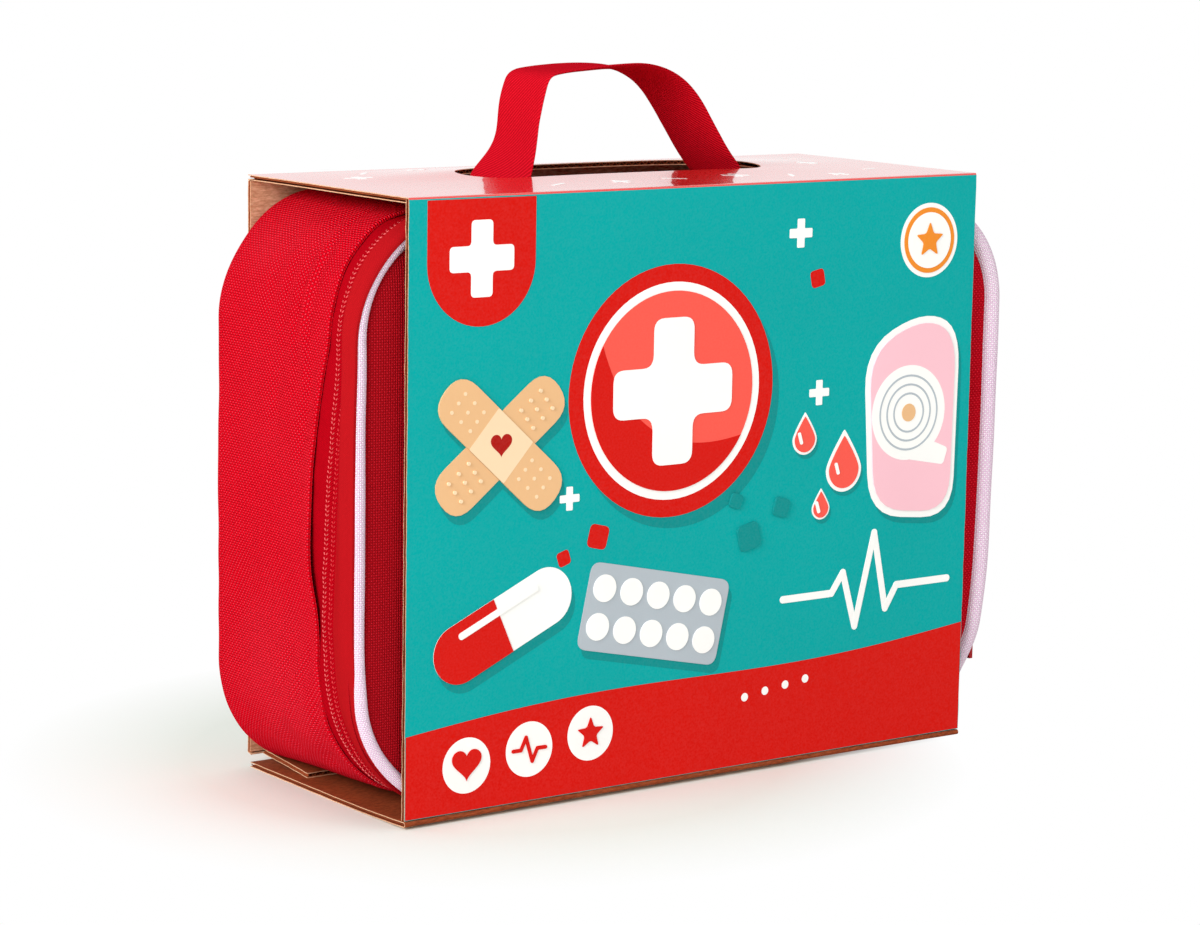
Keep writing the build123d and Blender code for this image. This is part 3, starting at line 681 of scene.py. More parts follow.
def stethoscope_hose():
    """Soft vinyl hose on one smooth spline."""
    made = spline("stethoscope_hose", TUBE)
    made.data.bevel_depth = 3.5 * MM
    made.data.bevel_resolution = 6
    made.data.use_fill_caps = True
    made.data.materials.append(MATERIALS["white_vinyl"])
    bpy.context.scene.collection.objects.link(made)
    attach(made, "case")
    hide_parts("stethoscope_tube")
    length = float(walked(spline_line(TUBE))[-1])
    [x * MM for x in TUBE[0]]


rope("bulb_rope", ROPE_SHORT, 4.5, "case", "rope_short")
rope("pump_rope", ROPE_LONG, 4.5, "case", "rope_long")
stethoscope_hose()


# -------------------- the case's outline

RADIUS = 38.0
case_low, case_high = corners("case_gusset")
middle_z = (case_low[2] + case_high[2]) / 2
half_x = case_high[0] - RADIUS
half_z = (case_high[2] - case_low[2]) / 2 - RADIUS
quarter = RADIUS * pi / 2
LEGS = np.array([half_x, quarter, 2 * half_z, quarter, 2 * half_x, quarter, 2 * half_z, quarter, half_x])
STOPS = np.concatenate([[0], np.cumsum(LEGS)])
TOTAL = STOPS[-1]
ZIP_FROM, ZIP_TO = STOPS[1], STOPS[8]


def outline(s, out, core=1.0):
    """Points x, z of the case's outline at distance s, walked from the middle of the foot leftwards and up,
    and moved outwards by out: a corner of the inner rectangle, times core, plus the radius and out along
    the outward normal, which turns evenly round each corner."""
    turn = np.interp(s, STOPS, np.radians([180, 180, 90, 90, 0, 0, -90, -90, -180, -180]))
    x = half_x * np.interp(s, STOPS, [0, -1, -1, -1, -1, 1, 1, 1, 1, 0])
    z = half_z * np.interp(s, STOPS, [-1, -1, -1, 1, 1, 1, 1, -1, -1, -1])
    reach = RADIUS + out
    return x * core - np.sin(turn) * reach, middle_z + z * core + np.cos(turn) * reach


def around(pairs, blur):
    """Function of the distance round the outline: straight lines through the pairs, blurred by a bell."""
    s, values = np.array(pairs, float).T
    steps = np.arange(0, TOTAL, 1.0)
    dense = np.interp(steps, s, values, period=TOTAL)
    bell = np.exp(-((np.arange(-3 * blur, 3 * blur + 1) / blur) ** 2) / 2)
    dense = np.convolve(np.pad(dense, 3 * blur, mode="wrap"), bell / bell.sum(), mode="valid")
    return lambda at: np.interp(at, steps, dense, period=TOTAL)


# How far the soft shape stands out from the plain outline, by distance in mm: front edge, back edge
front_push = around([
    (0, 0), (98, -0.5), (128, -2.4), (150, -1), (170, 0.6), (200, 0.3), (250, 0.1), (270, -0.6), (285, 0),
    (305, 1.6), (320, 2.5), (335, 2.0), (360, 0.6), (433, 0), (520, 0.3), (545, 0.8), (590, 0.5), (640, 0.3),
    (690, -0.8), (712, -3.9), (728, -7.4), (737, -6.0), (750, -2.4), (770, -0.5), (800, 0),
], 8)  # fmt: skip
back_push = around([
    (0, 0), (80, 0.5), (110, 2.6), (130, 2.4), (150, 1.2), (180, 0.8), (240, 1.0), (275, 0.7), (300, 0.3),
    (315, 3.4), (330, 5.4), (348, 4.6), (365, 2.6), (390, 0.6), (433, 0), (500, 0.3), (535, 1.5), (560, 0.5),
    (600, 0.8), (700, 0.8), (730, 1.5), (760, 2), (790, 0.6),
], 8)  # fmt: skip
# How far the zip wanders back from its straight line, and where the body's cloth ends over it
zip_wander = around([
    (98, 0), (118, 0.8), (140, 2.6), (158, 4.9), (175, 6.6), (190, 7.6), (203, 7.0), (229, 4.7), (250, 2.4),
    (266, 0.9), (283, 0),
], 5)  # fmt: skip
lip_at = around([
    (98, -25.3), (140, -24.5), (158, -23), (167, -22.5), (182, -23.8), (188, -21.2), (196, -18.4),
    (210, -17.8), (228, -18.5), (243, -20.2), (255, -22.7), (267, -25.4), (276, -28.1), (285, -28.1),
    (300, -26.8), (320, -25.3),
], 4)  # fmt: skip
lip_lift = around([(172, 0), (182, 0.6), (192, 0.9), (212, 0.5), (230, 0.25), (250, 0)], 4)
# How far the lid's side strip rolls forward over the piping
roll_forward = around([
    (120, 0), (145, 1.9), (165, 2.6), (186, 2.8), (223, 3.0), (250, 2.9), (280, 3.0), (300, 3.8), (328, 3.8),
    (345, 2.6), (400, 1.4), (433, 1.0), (560, 0.6), (640, 0.4), (720, 0),
], 8)  # fmt: skip
# How far the piping is pushed outwards, and how far back, from its even run
pipe_out = around([(140, 0), (170, 0.4), (215, 1.8), (290, 2.0), (320, 1.6), (350, 0.6), (400, 0)], 8)
pipe_back = around([(140, 0), (170, 0.3), (215, 1.5), (290, 1.8), (320, 1.4), (350, 0.6), (400, 0)], 8)
# How much thicker the piping is where it is stuffed more tightly, and thinner where it is pulled
pipe_more = around([
    (50, 0), (90, -0.75), (178, -0.75), (212, 0), (480, 0), (530, 0.5), (700, 0.5), (735, 0),
], 8)  # fmt: skip

ZIP_LINE = -35.35
MOST_PUSHED_IN, MOST_CREASED = -3.2, 1.2  # the soft shape's limits
HALF_DEEP = 45.0  # from the middle to where the front edge's push, or the back edge's, is all there is
gusset_back = case_high[1]


def soft(s, y):
    """Outward swell at distance s and depth y: the front edge's, which is never pushed in far, and the back
    edge's, mixed by depth, with slow dents that fade out in the middle of the foot."""
    share = np.clip((y + HALF_DEEP) / (2 * HALF_DEEP), 0, 1)
    fade = smooth_steps(np.minimum(s, TOTAL - s) / 40)
    dents = 0.35 * ripples(s, y, 46, 3) + 0.1 * ripples(s, y, 15, 4)
    return np.maximum(front_push(s), MOST_PUSHED_IN) * (1 - share) + back_push(s) * share + dents * fade


# Soft creases in the body's cloth: start s and y, end s and y, width, depth (a ridge is negative)
CREASES = (
    (326, -12, 258, -17, 2.2, 0.9), (322, -5, 254, -9, 2.6, 0.8), (318, 3, 262, -1, 3.0, 0.8),
    (324, -8, 262, -13, 2.0, -0.5), (316, 12, 270, 8, 3.5, 0.7), (262, -17, 226, -10, 3.0, 0.7),
    (266, 2, 240, 6, 4.0, 0.7), (172, -19, 146, -4, 2.6, 1.3), (164, -24, 128, -12, 2.4, 1.1),
    (176, -12, 150, 4, 3.0, 0.9), (150, -20, 118, -10, 2.6, 0.9),
    (150, 6, 120, 2, 5.0, 0.8), (186, -14, 166, 0, 5.0, 0.5), (320, 0, 300, 4, 5.0, -0.6),
    (205, 20, 175, 26, 6.0, 0.4), (248, 24, 232, 34, 6.0, 0.4), (560, -8, 600, -14, 5.0, 0.6),
    (640, 4, 680, -6, 6.0, 0.5), (720, -12, 740, 4, 5.0, 0.8), (430, -16, 460, -12, 8.0, 0.4),
)  # fmt: skip


def creases(s, y):
    """Sum of bell-shaped furrows, each along a straight line between its ends."""
    total = 0.0
    for s0, y0, s1, y1, width, depth in CREASES:
        ds, dy = s1 - s0, y1 - y0
        share = np.clip(((s - s0) * ds + (y - y0) * dy) / (ds * ds + dy * dy), 0, 1)
        away = np.hypot(s - s0 - share * ds, y - y0 - share * dy)
        along = np.sin(pi * np.clip(share, 0.12, 0.88))
        total = total + 1.5 * depth * np.exp(-((away / width) ** 2)) * along
    return np.minimum(total, MOST_CREASED)


def band(name, s, y, out, thick, finishes, body, ring=False, **more):
    """Cloth band round the outline: its outer face at depth y and outward offset out, its inner face less
    the thickness; both are grids of distance by breadth."""
    s = np.broadcast_to(s, y.shape)
    shown, hidden = [grid(x, y, z) for x, z in (outline(s, out), outline(s, out - thick))]
    breadth = np.concatenate([np.zeros((len(y), 1)), np.cumsum(np.abs(np.diff(y, axis=1)), 1)], 1)
    uv = grid(s, breadth)
    if ring:
        uv = np.concatenate([uv, [grid(TOTAL, breadth[0])]])
    return slab(name, shown, hidden, uv, finishes, body, ring=ring, **more)


def once_round(count):
    """Even distances once round the outline."""
    return np.linspace(0, TOTAL, count, endpoint=False)


def turned_over(share):
    """Drop of a quarter circle of radius 1 at a share of the way over it."""
    return 1 - np.sqrt(1 - share**2)


def cap(name, shown, hidden, finish_name, body, slot, mapped=1):
    """Small disc that closes the middle of a panel of rings. Unmapped, it takes one tone of the weave."""
    n = len(shown)
    k = np.arange(n)
    faces = [k.tolist(), (k[::-1] + n).tolist(), *rim_quads(np.arange(n + 1) % n, n).tolist()]
    points = np.concatenate([shown, hidden])
    uv = np.concatenate([points[f][:, [0, 2]] for f in faces]) * mapped
    piece(name, points, faces, finish_name, body, uv=uv, slot=slot)


def ring_panel(name, middle_name, shown, hidden, uv, finish_name, body, node, slot, closing=None, mapped=1):
    """Panel built of rings, and the disc in its middle. closing is the map's row that closes the rings,
    which is otherwise its first."""
    uv = np.concatenate([uv, uv[:1] if closing is None else closing])
    slab(name, shown, hidden, uv, finish_name, body, ring=True, stands_for=[node], slot=slot)
    cap(middle_name, shown[:, -1], hidden[:, -1], finish_name, body, slot, mapped)


# -------------------- the case's body


PLAIN_LIP = -25.35  # depth of the body's front edge away from the zip's wander


def body_cloth():
    """Padded oxford wall round the body. The front edge is a turned hem: the outer face drops by a quarter
    circle over the last millimetre, and it lifts off the zip where the zip wanders."""
    s = once_round(440)[:, None]
    reach = gusset_back - PLAIN_LIP
    d = np.concatenate([[0, 0.12, 0.35, 0.7, 1.1, 1.7, 2.6, 3.8, 5.4], np.linspace(7.2, reach - 0.9, 28)])
    d = np.concatenate([d, [reach - 0.45, reach - 0.15, reach]])
    lip = lip_at(s)
    y = lip + d * (gusset_back - lip) / reach
    hem = 0.8 * turned_over(1 - np.clip(d / 1.1, 0, 1))
    seam = 0.9 * turned_over(np.clip((d - reach + 0.9) / 0.9, 0, 1))
    ridge = 0.2 * bump_at(d, 2.0, 1.2) - 0.15 * bump_at(d, 5.5, 1.2)
    out = soft(s, y) + lip_lift(s) * np.exp(-d / 6) + ridge - hem - seam - creases(s, y)
    thick = np.interp(d, [0, 1.1, 6], [0.25, 0.9, 1.5])
    more = {"stands_for": ["case_gusset"], "slot": "red_oxford"}
    band("body_cloth", s, y, out, thick, "oxford", "case", True, **more)


def threads(name, s, y, out, slant, length, width, finish_name, body, slot):
    """Many short threads laid on the outline's surface: each is a lozenge with a raised middle, turned by
    slant degrees from the way round."""
    turn = np.radians(np.broadcast_to(slant, s.shape))
    ends = np.array([[-0.5, 0], [-0.25, -0.5], [0.25, -0.5], [0.5, 0], [0.25, 0.5], [-0.25, 0.5]])
    local = ends * [length, width]
    da = local[:, 0] * np.cos(turn)[:, None] - local[:, 1] * np.sin(turn)[:, None]
    db = local[:, 0] * np.sin(turn)[:, None] + local[:, 1] * np.cos(turn)[:, None]
    loops = []
    for lift, scale in ((-0.15, 1.0), (0.14, 1.0), (0.26, 0.45)):
        x, z = outline(s[:, None] + da * scale, out[:, None] + lift)
        loops.append(grid(x, y[:, None] + db * scale, z))
    points = np.stack(loops, 1).reshape(-1, 3)
    side = rim_quads(np.arange(7) % 6, 6)
    quads = np.concatenate([side, side + 6])
    caps = np.array([[5, 4, 3, 2, 1, 0], [12, 13, 14, 15, 16, 17]])
    starts = 18 * np.arange(len(s))[:, None, None]
    faces = (quads + starts).reshape(-1, 4).tolist() + (caps + starts).reshape(-1, 6).tolist()
    return piece(name, points, faces, finish_name, body, slot=slot, sharp=60)


CORE_INSET = 36.5  # rings further in than this are the inner rectangle's, shrunk by their core


def back_cloth():
    """Back panel: rings from the outline inwards. The edge rounds over by a quarter circle, and the flat has
    slow dents. Its map is unrolled round that edge."""
    s = once_round(440)
    radius, flat, thick = 9, 8.7, 1.4
    turn = np.linspace(0, pi / 2, 8)
    inset = np.concatenate([radius * (1 - np.cos(turn)) + 0.4, [13, 18, 24, 30], np.full(6, CORE_INSET)])
    scale = np.concatenate([np.ones(13), [0.8, 0.6, 0.4, 0.2, 0.04]])
    deep = gusset_back + np.concatenate([0.1 + 8.6 * np.sin(turn), np.full(10, flat)])
    deep[0] -= 0.4
    swell = soft(s, np.full(s.shape, gusset_back))[:, None] * (scale > 0.99)
    x, z = outline(s[:, None], swell - inset, scale)
    y = deep + 0.2 * ripples(x, z, 60, 9) * smooth_steps((inset - 8) / 12)
    unrolled = inset + np.concatenate([radius * (turn - pi / 2 + np.cos(turn)), np.zeros(10)])
    uv = grid(*outline(s[:, None], swell - unrolled, scale))
    inner = grid(x * 0.988, y - thick, middle_z + (z - middle_z) * 0.984)
    inner[:, 0, 1] = y[:, 0]
    ring_panel(
        "back_cloth", "back_cloth_middle", grid(x, y, z), inner, uv, "oxford", "case", "case_back_panel",
        "red_oxford", mapped=0,
    )


# -------------------- zip


ZIP_SIDES = ("behind", "case", 1, "body"), ("ahead", "lid", -1, "lid")  # name, body, way, node's name
TAPE_DEPTH, HUMP = 1.35, 0.85  # how far the tapes lie under the soft shape, and rise over their coils
TOOTH = 1.6  # spacing of the coils' turns and of the stitches
ZIP_END = 3.0  # what the coils and the stitches leave free at each end


def zip_ground(s, y):
    """Outward place of the tapes' flats."""
    return soft(s, y) + 0.1 * ripples(s, y, 9, 8) - TAPE_DEPTH


def zip_tapes():
    """Two woven tapes that meet on the zip's line. Each humps over its coil by a bell 2 mm from the line;
    the body's runs back under the hem, the lid's forward under the side strip."""
    s = np.linspace(ZIP_FROM, ZIP_TO, 430)[:, None]
    line = ZIP_LINE + zip_wander(s)
    d = np.array([0.02, 0.22, 0.5, 0.9, 1.3, 1.7, 2.1, 2.5, 2.9, 3.4, 4.0, 5.0, 6.2])
    share = np.linspace(0, 1, 8)[1:]
    inner = line + 6.2 + share * (lip_at(s) + 1.8 - line - 6.2)
    for side, body, way, node in ZIP_SIDES:
        y, away = line + way * d, d
        if way > 0:
            y, away = np.concatenate([y, inner], 1), np.concatenate([d, 6.2 + share * 4])
        hump = HUMP * bump_at(away, 2.0, 1.05) - 0.5 * np.exp(-away / 0.35)
        sunk = np.interp(away, [3.0, 5.5, 10.2], [0, -0.35, 0.1])
        tucked = 0.8 * lip_lift(s) * smooth_steps((away - 3.5) / 2) * (way > 0)
        out = zip_ground(s, y) + hump - sunk - tucked
        more = {"stands_for": [f"zip_tape_{node}"], "slot": "red_zip_tape"}
        band(f"zip_tape_{side}", s, y, out, 0.55, "tape", body, **more)


def zip_stitches():
    """Chevrons of thread on both humps: two columns that slant towards each other, one pair a tooth."""
    s = np.arange(ZIP_FROM + ZIP_END, ZIP_TO - ZIP_END, TOOTH)
    from_crest = 0.62
    for (side, body, way, _), kind in zip(ZIP_SIDES, ("stitch", "red_stitch")):
        ways = np.repeat([[-1, 1]], len(s), 0).ravel()
        at = np.repeat(s, 2)
        y = ZIP_LINE + zip_wander(at) + way * 2.0 + from_crest * ways
        out = zip_ground(at, y) + HUMP * bump_at(from_crest, 0, 1.05)
        draw = np.random.default_rng(5).normal(0, 1, (2, len(at)))
        slant = ways * 40 + 6 * draw[1]
        at = at + 0.1 * draw[0]
        threads(f"zip_thread_{side}", at, y, out, slant, 1.2, 0.22, kind, body, "red_zip_tape")


def zip_coils():
    """Nylon coils inside the tapes: a helix flattened to 2.0 by 1.4 mm, one turn a tooth, of wire 0.5 mm
    thick."""
    length = ZIP_TO - ZIP_FROM - 2 * ZIP_END
    turns = length / TOOTH
    steps = np.linspace(0, 1, int(turns * 9))
    s = ZIP_FROM + ZIP_END + steps * length
    angle = 2 * pi * turns * steps
    tube = np.linspace(0, 2 * pi, 5, endpoint=False)
    for side, body, way, node in ZIP_SIDES:
        y = ZIP_LINE + zip_wander(s) + way * (1.6 + 0.75 * np.cos(angle))
        out = front_push(s) - 3.3 + 0.45 * np.sin(angle)
        x, z = outline(s, out)
        line = grid(x, y, z)
        _, across, other = frames_along(line)
        section = across[:, None] * np.cos(tube)[:, None] + other[:, None] * np.sin(tube)[:, None]
        loops = line[:, None] + 0.25 * section
        loft(
            f"coil_{side}", loops, np.linspace(0, 1, len(s) + 1), np.linspace(0, 1, 6), "coil", body,
            stands_for=[f"zip_coil_{node}"], slot="red_coil",
        )


# -------------------- lid


PIPE_X, PIPE_Y = 2.95, 2.8  # the piping's half widths
PIPING_AT = -45.4
OVER_PIPE = 0.6  # how much wider the cloth is that wraps round the piping
STRIP_FROM, STRIP_TO = ZIP_LINE - 3.9, -43.2  # the side strip's two edges before it wanders and rolls


def side_strip():
    """Smooth nylon binding from the zip to the piping, round the sides and the top. It swells slightly, then
    steps out with the piping. Past the piping's middle it wraps round it on a wider ellipse, and elsewhere
    it turns in behind it over a quarter circle of 1.6 mm."""
    s = np.linspace(STOPS[1] - 1, STOPS[8] + 1, 430)[:, None]
    start = STRIP_FROM + zip_wander(s)
    end = STRIP_TO - roll_forward(s)
    middle = PIPING_AT + pipe_back(s)
    turn = np.maximum(1.6, middle - end)
    wraps = smooth_steps((middle - end) / 1.2)
    roll = np.linspace(0, pi / 2, 9)
    share = np.linspace(0, 1, 14)
    edge = np.array([0.0, 0.12, 0.4])
    straight = start - 0.9 + share * (end + turn - start + 0.9)
    y = np.concatenate([start - edge, straight, end + turn - turn * np.sin(roll[1:])], 1)
    hem = np.concatenate([0.7 * turned_over(1 - edge / 0.6), np.zeros(22)])
    swell = np.concatenate([np.zeros(3), 0.7 * np.sin(pi * share) ** 0.8, np.zeros(8)])
    wrapped = (PIPE_X + OVER_PIPE) * turned_over(np.clip((middle - y) / (PIPE_Y + OVER_PIPE), 0, 0.99))
    turned_in = 1.6 * np.concatenate([np.zeros(17), 1 - np.cos(roll[1:])])
    forward = smooth_steps((start - y) / (start - middle - PIPE_Y))
    plain = soft(s, y) - 0.25 + 0.12 * ripples(s, y, 24, 12)
    out = plain + (front_push(s) + pipe_out(s) + OVER_PIPE * wraps - plain) * forward + swell - hem
    out = out - wraps * wrapped - (1 - wraps) * turned_in
    band("side_strip", s, y, out, 0.9, "binding", "lid", stands_for=["lid_side_strip"], slot="red_oxford")


def piping():
    """Cloth-covered cord round the lid's front edge: an ellipse carried round the outline, thickened and
    thinned very slightly along its way where the cover is pulled."""
    s = once_round(480)[:, None]
    angle = np.linspace(0, 2 * pi, 20, endpoint=False)
    swell = 1 + 0.02 * np.sin(s * 2 * pi * 9 / TOTAL) + 0.012 * np.sin(s * 2 * pi * 23 / TOTAL + 1)
    out = front_push(s) + pipe_out(s) + (PIPE_X + pipe_more(s)) * (np.cos(angle) * swell - 1)
    x, z = outline(s, out)
    y = PIPING_AT + (PIPE_Y + pipe_more(s)) * np.sin(angle) * swell + pipe_back(s)
    breadth = np.linspace(0, 2 * pi * PIPE_X, 21)
    along = np.linspace(0, TOTAL, len(s) + 1)
    more = {"ring": True, "stands_for": ["lid_piping"], "slot": "white_piping"}
    loft("piping_cord", grid(x, y, z), along, breadth, "piping", "lid", **more)


LID_FACE, LID_HALF_X, LID_HALF_Z = -46.5, 133, 93
SEAM_INSET = 4.6  # how far inside the outline the piping's seam is
SHRINKING = np.linspace(0.88, 0.16, 7)  # cores of a panel's rings towards its middle


def lid_swell(x, z):
    """Depth of the lid's face: it bows forward by up to 1.4 mm, as a cosine each way, with slow dents."""
    shares = x / LID_HALF_X, (z - middle_z) / LID_HALF_Z
    bow = np.prod([np.cos(np.clip(share, -1, 1) * pi / 2) for share in shares], 0)
    return LID_FACE - 1.3 * bow**0.6 - 0.12 * ripples(x, z, 55, 21) * bow**0.3


def rings_of(insets, cores, s):
    """Rings inside the piping: near the seam they follow it, and further in they are even, because the
    edge's wander fades in a straight line to none at the inner rectangle's corners."""
    near = np.exp(-np.clip(insets - SEAM_INSET, 0, None) / 12) * (cores > 0.99)
    piped = (pipe_out(s) - 2 * pipe_more(s))[:, None] * near
    fade = np.clip((CORE_INSET - insets) / 30, 0, 1) * (cores > 0.99)
    return outline(s[:, None], front_push(s)[:, None] * fade + piped - insets, cores)


def lid_cloth():
    """Lid's face: rings from the piping's seam inwards to the middle, on a slightly bowed surface that dips
    into the seam over the last 3 mm."""
    s = once_round(440)
    insets = np.concatenate([[SEAM_INSET + 0.1, 5.0, 5.6, 6.6, 8.5, 12, 17, 23, 30], np.full(9, CORE_INSET)])
    cores = np.concatenate([np.ones(10), SHRINKING, [0.05]])
    x, z = rings_of(insets, cores, s)
    from_seam = insets - SEAM_INSET
    dip = 1.6 * np.exp(-from_seam / 1.1)
    y = lid_swell(x, z) + dip + pipe_back(s)[:, None] * np.exp(-from_seam / 4) * (cores > 0.99)
    # the lid's cloth is painted darker than the body's as shade, most at its left edge
    ring_panel(
        "lid_cloth", "lid_cloth_middle", grid(x, y, z), grid(x, y + 0.8, z), grid(x, z), "lid_oxford", "lid",
        "lid_front_panel", "red_oxford",
    )


def lid_foam():
    """Foam board that stiffens the lid, cut 9 mm smaller than the piping and slightly soft at its edge."""
    s = once_round(240)
    cut, front, back = 9.0, -45.3, -43.9
    insets = np.array([cut, 9.3, 10, 14, 24, *[CORE_INSET] * 4])
    cores = np.array([1, 1, 1, 1, 1, 1, 0.7, 0.4, 0.06])
    x, z = outline(s[:, None], -insets, cores)
    edge = 0.4 * np.exp(-(insets - cut) / 0.4)
    ring_panel(
        "lid_foam", "lid_foam_middle", grid(x, front + edge, z), grid(x, back - edge, z), grid(x, z), "foam",
        "lid", "lid_stiffener", "foam_board",
    )


TAFFETA = 0.45  # the linings' thickness


def lid_inner_cloth():
    """Lid's lining: rings on a flat with faint puckers. Its edge goes over the piping's seam on an ellipse
    wider than the cord, down to the side strip."""
    s = once_round(260)
    lining_at = -43.25
    over_seam = [0.8, 1.1, 1.6, 2.3, 3.1, 4.0, 4.9, 5.6, 6.2, 7, 9, 14, 21, 28]
    insets = np.concatenate([over_seam, np.full(9, CORE_INSET)])
    cores = np.concatenate([np.ones(15), SHRINKING, [0.04]])
    x, z = rings_of(insets, cores, s)
    bulge = np.sqrt(np.clip(1 - ((insets - PIPE_X) / (PIPE_X + OVER_PIPE)) ** 2, 0, 1)) * (cores > 0.99)
    over = PIPING_AT + pipe_back(s)[:, None] + (PIPE_Y + pipe_more(s)[:, None] + OVER_PIPE) * bulge
    y = np.maximum(lining_at + 0.12 * ripples(x, z, 30, 31), over + TAFFETA)
    ring_panel(
        "lid_inner_cloth", "lid_inner_middle", grid(x, y, z), grid(x, y - TAFFETA, z), grid(x, z), "lining",
        "lid", "lid_lining", "red_lining",
    )


def body_inner_cloth():
    """Body's lining: a tray of thin taffeta, one wall round the inside and one back with slow puckers."""
    s = once_round(300)[:, None]
    wall_y, back_y = np.linspace(-25.2, 43.6, 20), 44.9
    wall = len(wall_y)
    insets = np.concatenate([np.full(wall, 1.75), [2.4, 4, 8, 14, 21, 28], np.full(9, CORE_INSET)])
    cores = np.concatenate([np.ones(27), SHRINKING, [0.04]])
    rings = np.arange(len(insets))
    offsets = -insets + 0 * s
    offsets[:, :wall] += np.minimum(soft(s, wall_y), 0) - np.maximum(creases(s, wall_y), 0)
    x, z = outline(s, offsets, cores)
    puckers = 0.1 * ripples(x, z, 26, 33) * (rings >= wall + 2)
    y = np.concatenate([wall_y, [back_y - 0.6], np.full(14, back_y)]) + puckers
    inner_x, inner_z = outline(s, offsets - np.where(rings <= wall, TAFFETA, 0), cores)
    shown = grid(inner_x, y - np.where(rings >= wall, 0.4, 0), inner_z)
    breadth = walked(shown[0])
    ring_panel(
        "body_inner_cloth", "body_inner_middle", shown, grid(x, y, z), grid(s, breadth), "lining", "case",
        "case_lining", "red_lining", closing=grid(TOTAL, breadth)[None],
    )


def hinge_cloth():
    """Oxford strip across the foot between the body and the piping: a flat grid that dips at both seams and
    rises where the soft case is pushed inwards."""
    low, high = corners("lid_hinge_strip")
    x = np.linspace(low[0] + 0.2, high[0] - 0.2, 99)[:, None]
    y = np.linspace(high[1] - 0.2, low[1] + 0.2, 26)
    share = np.linspace(0, 1, 26)
    z = low[2] + 0.15 + 0.5 * np.exp(-share / 0.05) + 0.5 * np.exp(-(1 - share) / 0.05)
    z = z + 0.1 * (1 + ripples(x, y, 20, 41)) / 2 - np.minimum(soft(-x % TOTAL, y), 0.4)
    made = slab(
        "hinge_cloth", grid(x, y, z), grid(x, y, z + 1.3), grid(x, y), "oxford", None,
        stands_for=["lid_hinge_strip"], slot="red_oxford",
    )
    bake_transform(made)


body_cloth()
back_cloth()
zip_tapes()
zip_stitches()
zip_coils()
side_strip()
piping()
lid_cloth()
lid_foam()
lid_inner_cloth()
body_inner_cloth()
hinge_cloth()


# -------------------- card sleeve

top_low, top_high = corners("sleeve_top")
front_low, front_high = corners("sleeve_front")
back_high = corners("sleeve_back")[1]
base_low, base_high = corners("sleeve_bottom")
flap_low, flap_high = corners("sleeve_lock_flap")
LINER, FLUTE_PAPER = 0.3, 0.18  # thicknesses
BOARD = top_high[2] - top_low[2]
SLOT_Y, SLOT_RADIUS, SLOT_STRAIGHT = 6.0, 15.0, 47.5  # middle, ends' radius, half the straight length
WIDE = top_high[0]
FLUTES_SHOWN, FLUTE_STEP = 12, 0.25  # how far in from a cut side the flutes are drawn, and how finely


def liner(name, a, b, surface, lift, body, finish_name="kraft", slot="kraft_card", **more):
    """One liner of the board: two grids of flat coordinates on a surface, raised by lift, less a liner's
    thickness. Its rim is the raw cut edge."""
    uv = grid(a, b)
    if more.get("ring"):
        uv = np.concatenate([uv, uv[:1]])
    shown, hidden = surface(a, b, lift), surface(a, b, lift - LINER)
    return slab(name, shown, hidden, uv, [finish_name, "cut_kraft"], body, edges=1, slot=slot, **more)


def ragged(values, seed, size=0.07):
    """Adds the small unevenness of a die-cut edge to a line's coordinates."""
    return values + np.random.default_rng(seed).normal(0, size, values.shape)


def flat_grid(x0, x1, y0, y1, seed, step=3.0):
    """Grid of a rectangle whose edges are slightly ragged."""
    x, y = (np.linspace(low, high, int((high - low) / step) + 1) for low, high in ((x0, x1), (y0, y1)))
    a, b = np.meshgrid(x, y, indexing="ij")
    a[0], a[-1] = ragged(a[0], seed), ragged(a[-1], seed + 1)
    b[:, 0], b[:, -1] = ragged(b[:, 0], seed + 2), ragged(b[:, -1], seed + 3)
    return a, b


def flutes(name, across, along, surface, body, phase=0.0):
    """Corrugated middle of the board: a sine across, straight along. across is a line of places and along a
    pair of lines, one value of each for every place."""
    start, end = (np.broadcast_to(line, across.shape) for line in along)
    share = np.linspace(0, 1, 7)
    a = np.repeat(across[:, None], 7, 1)
    b = start[:, None] + (end - start)[:, None] * share
    height = (BOARD / 2 - LINER - 0.08) * np.sin(2 * pi * (a / FLUTE + phase))
    middle = -BOARD / 2
    shown, hidden = (surface(a, b, middle + height + half) for half in (FLUTE_PAPER / 2, -FLUTE_PAPER / 2))
    slab(name, shown, hidden, grid(a, b), "kraft", body, slot="kraft_card")


def side_flutes(panel, along, surface, body, phase=0.0, edge=WIDE - 0.1):
    """Flutes that show along a panel's two cut sides."""
    for side, name in ((-1, "left"), (1, "right")):
        across = side * (edge - np.arange(0, FLUTES_SHOWN, FLUTE_STEP))
        flutes(f"{panel}_flutes_{name}", across, along, surface, body, phase)


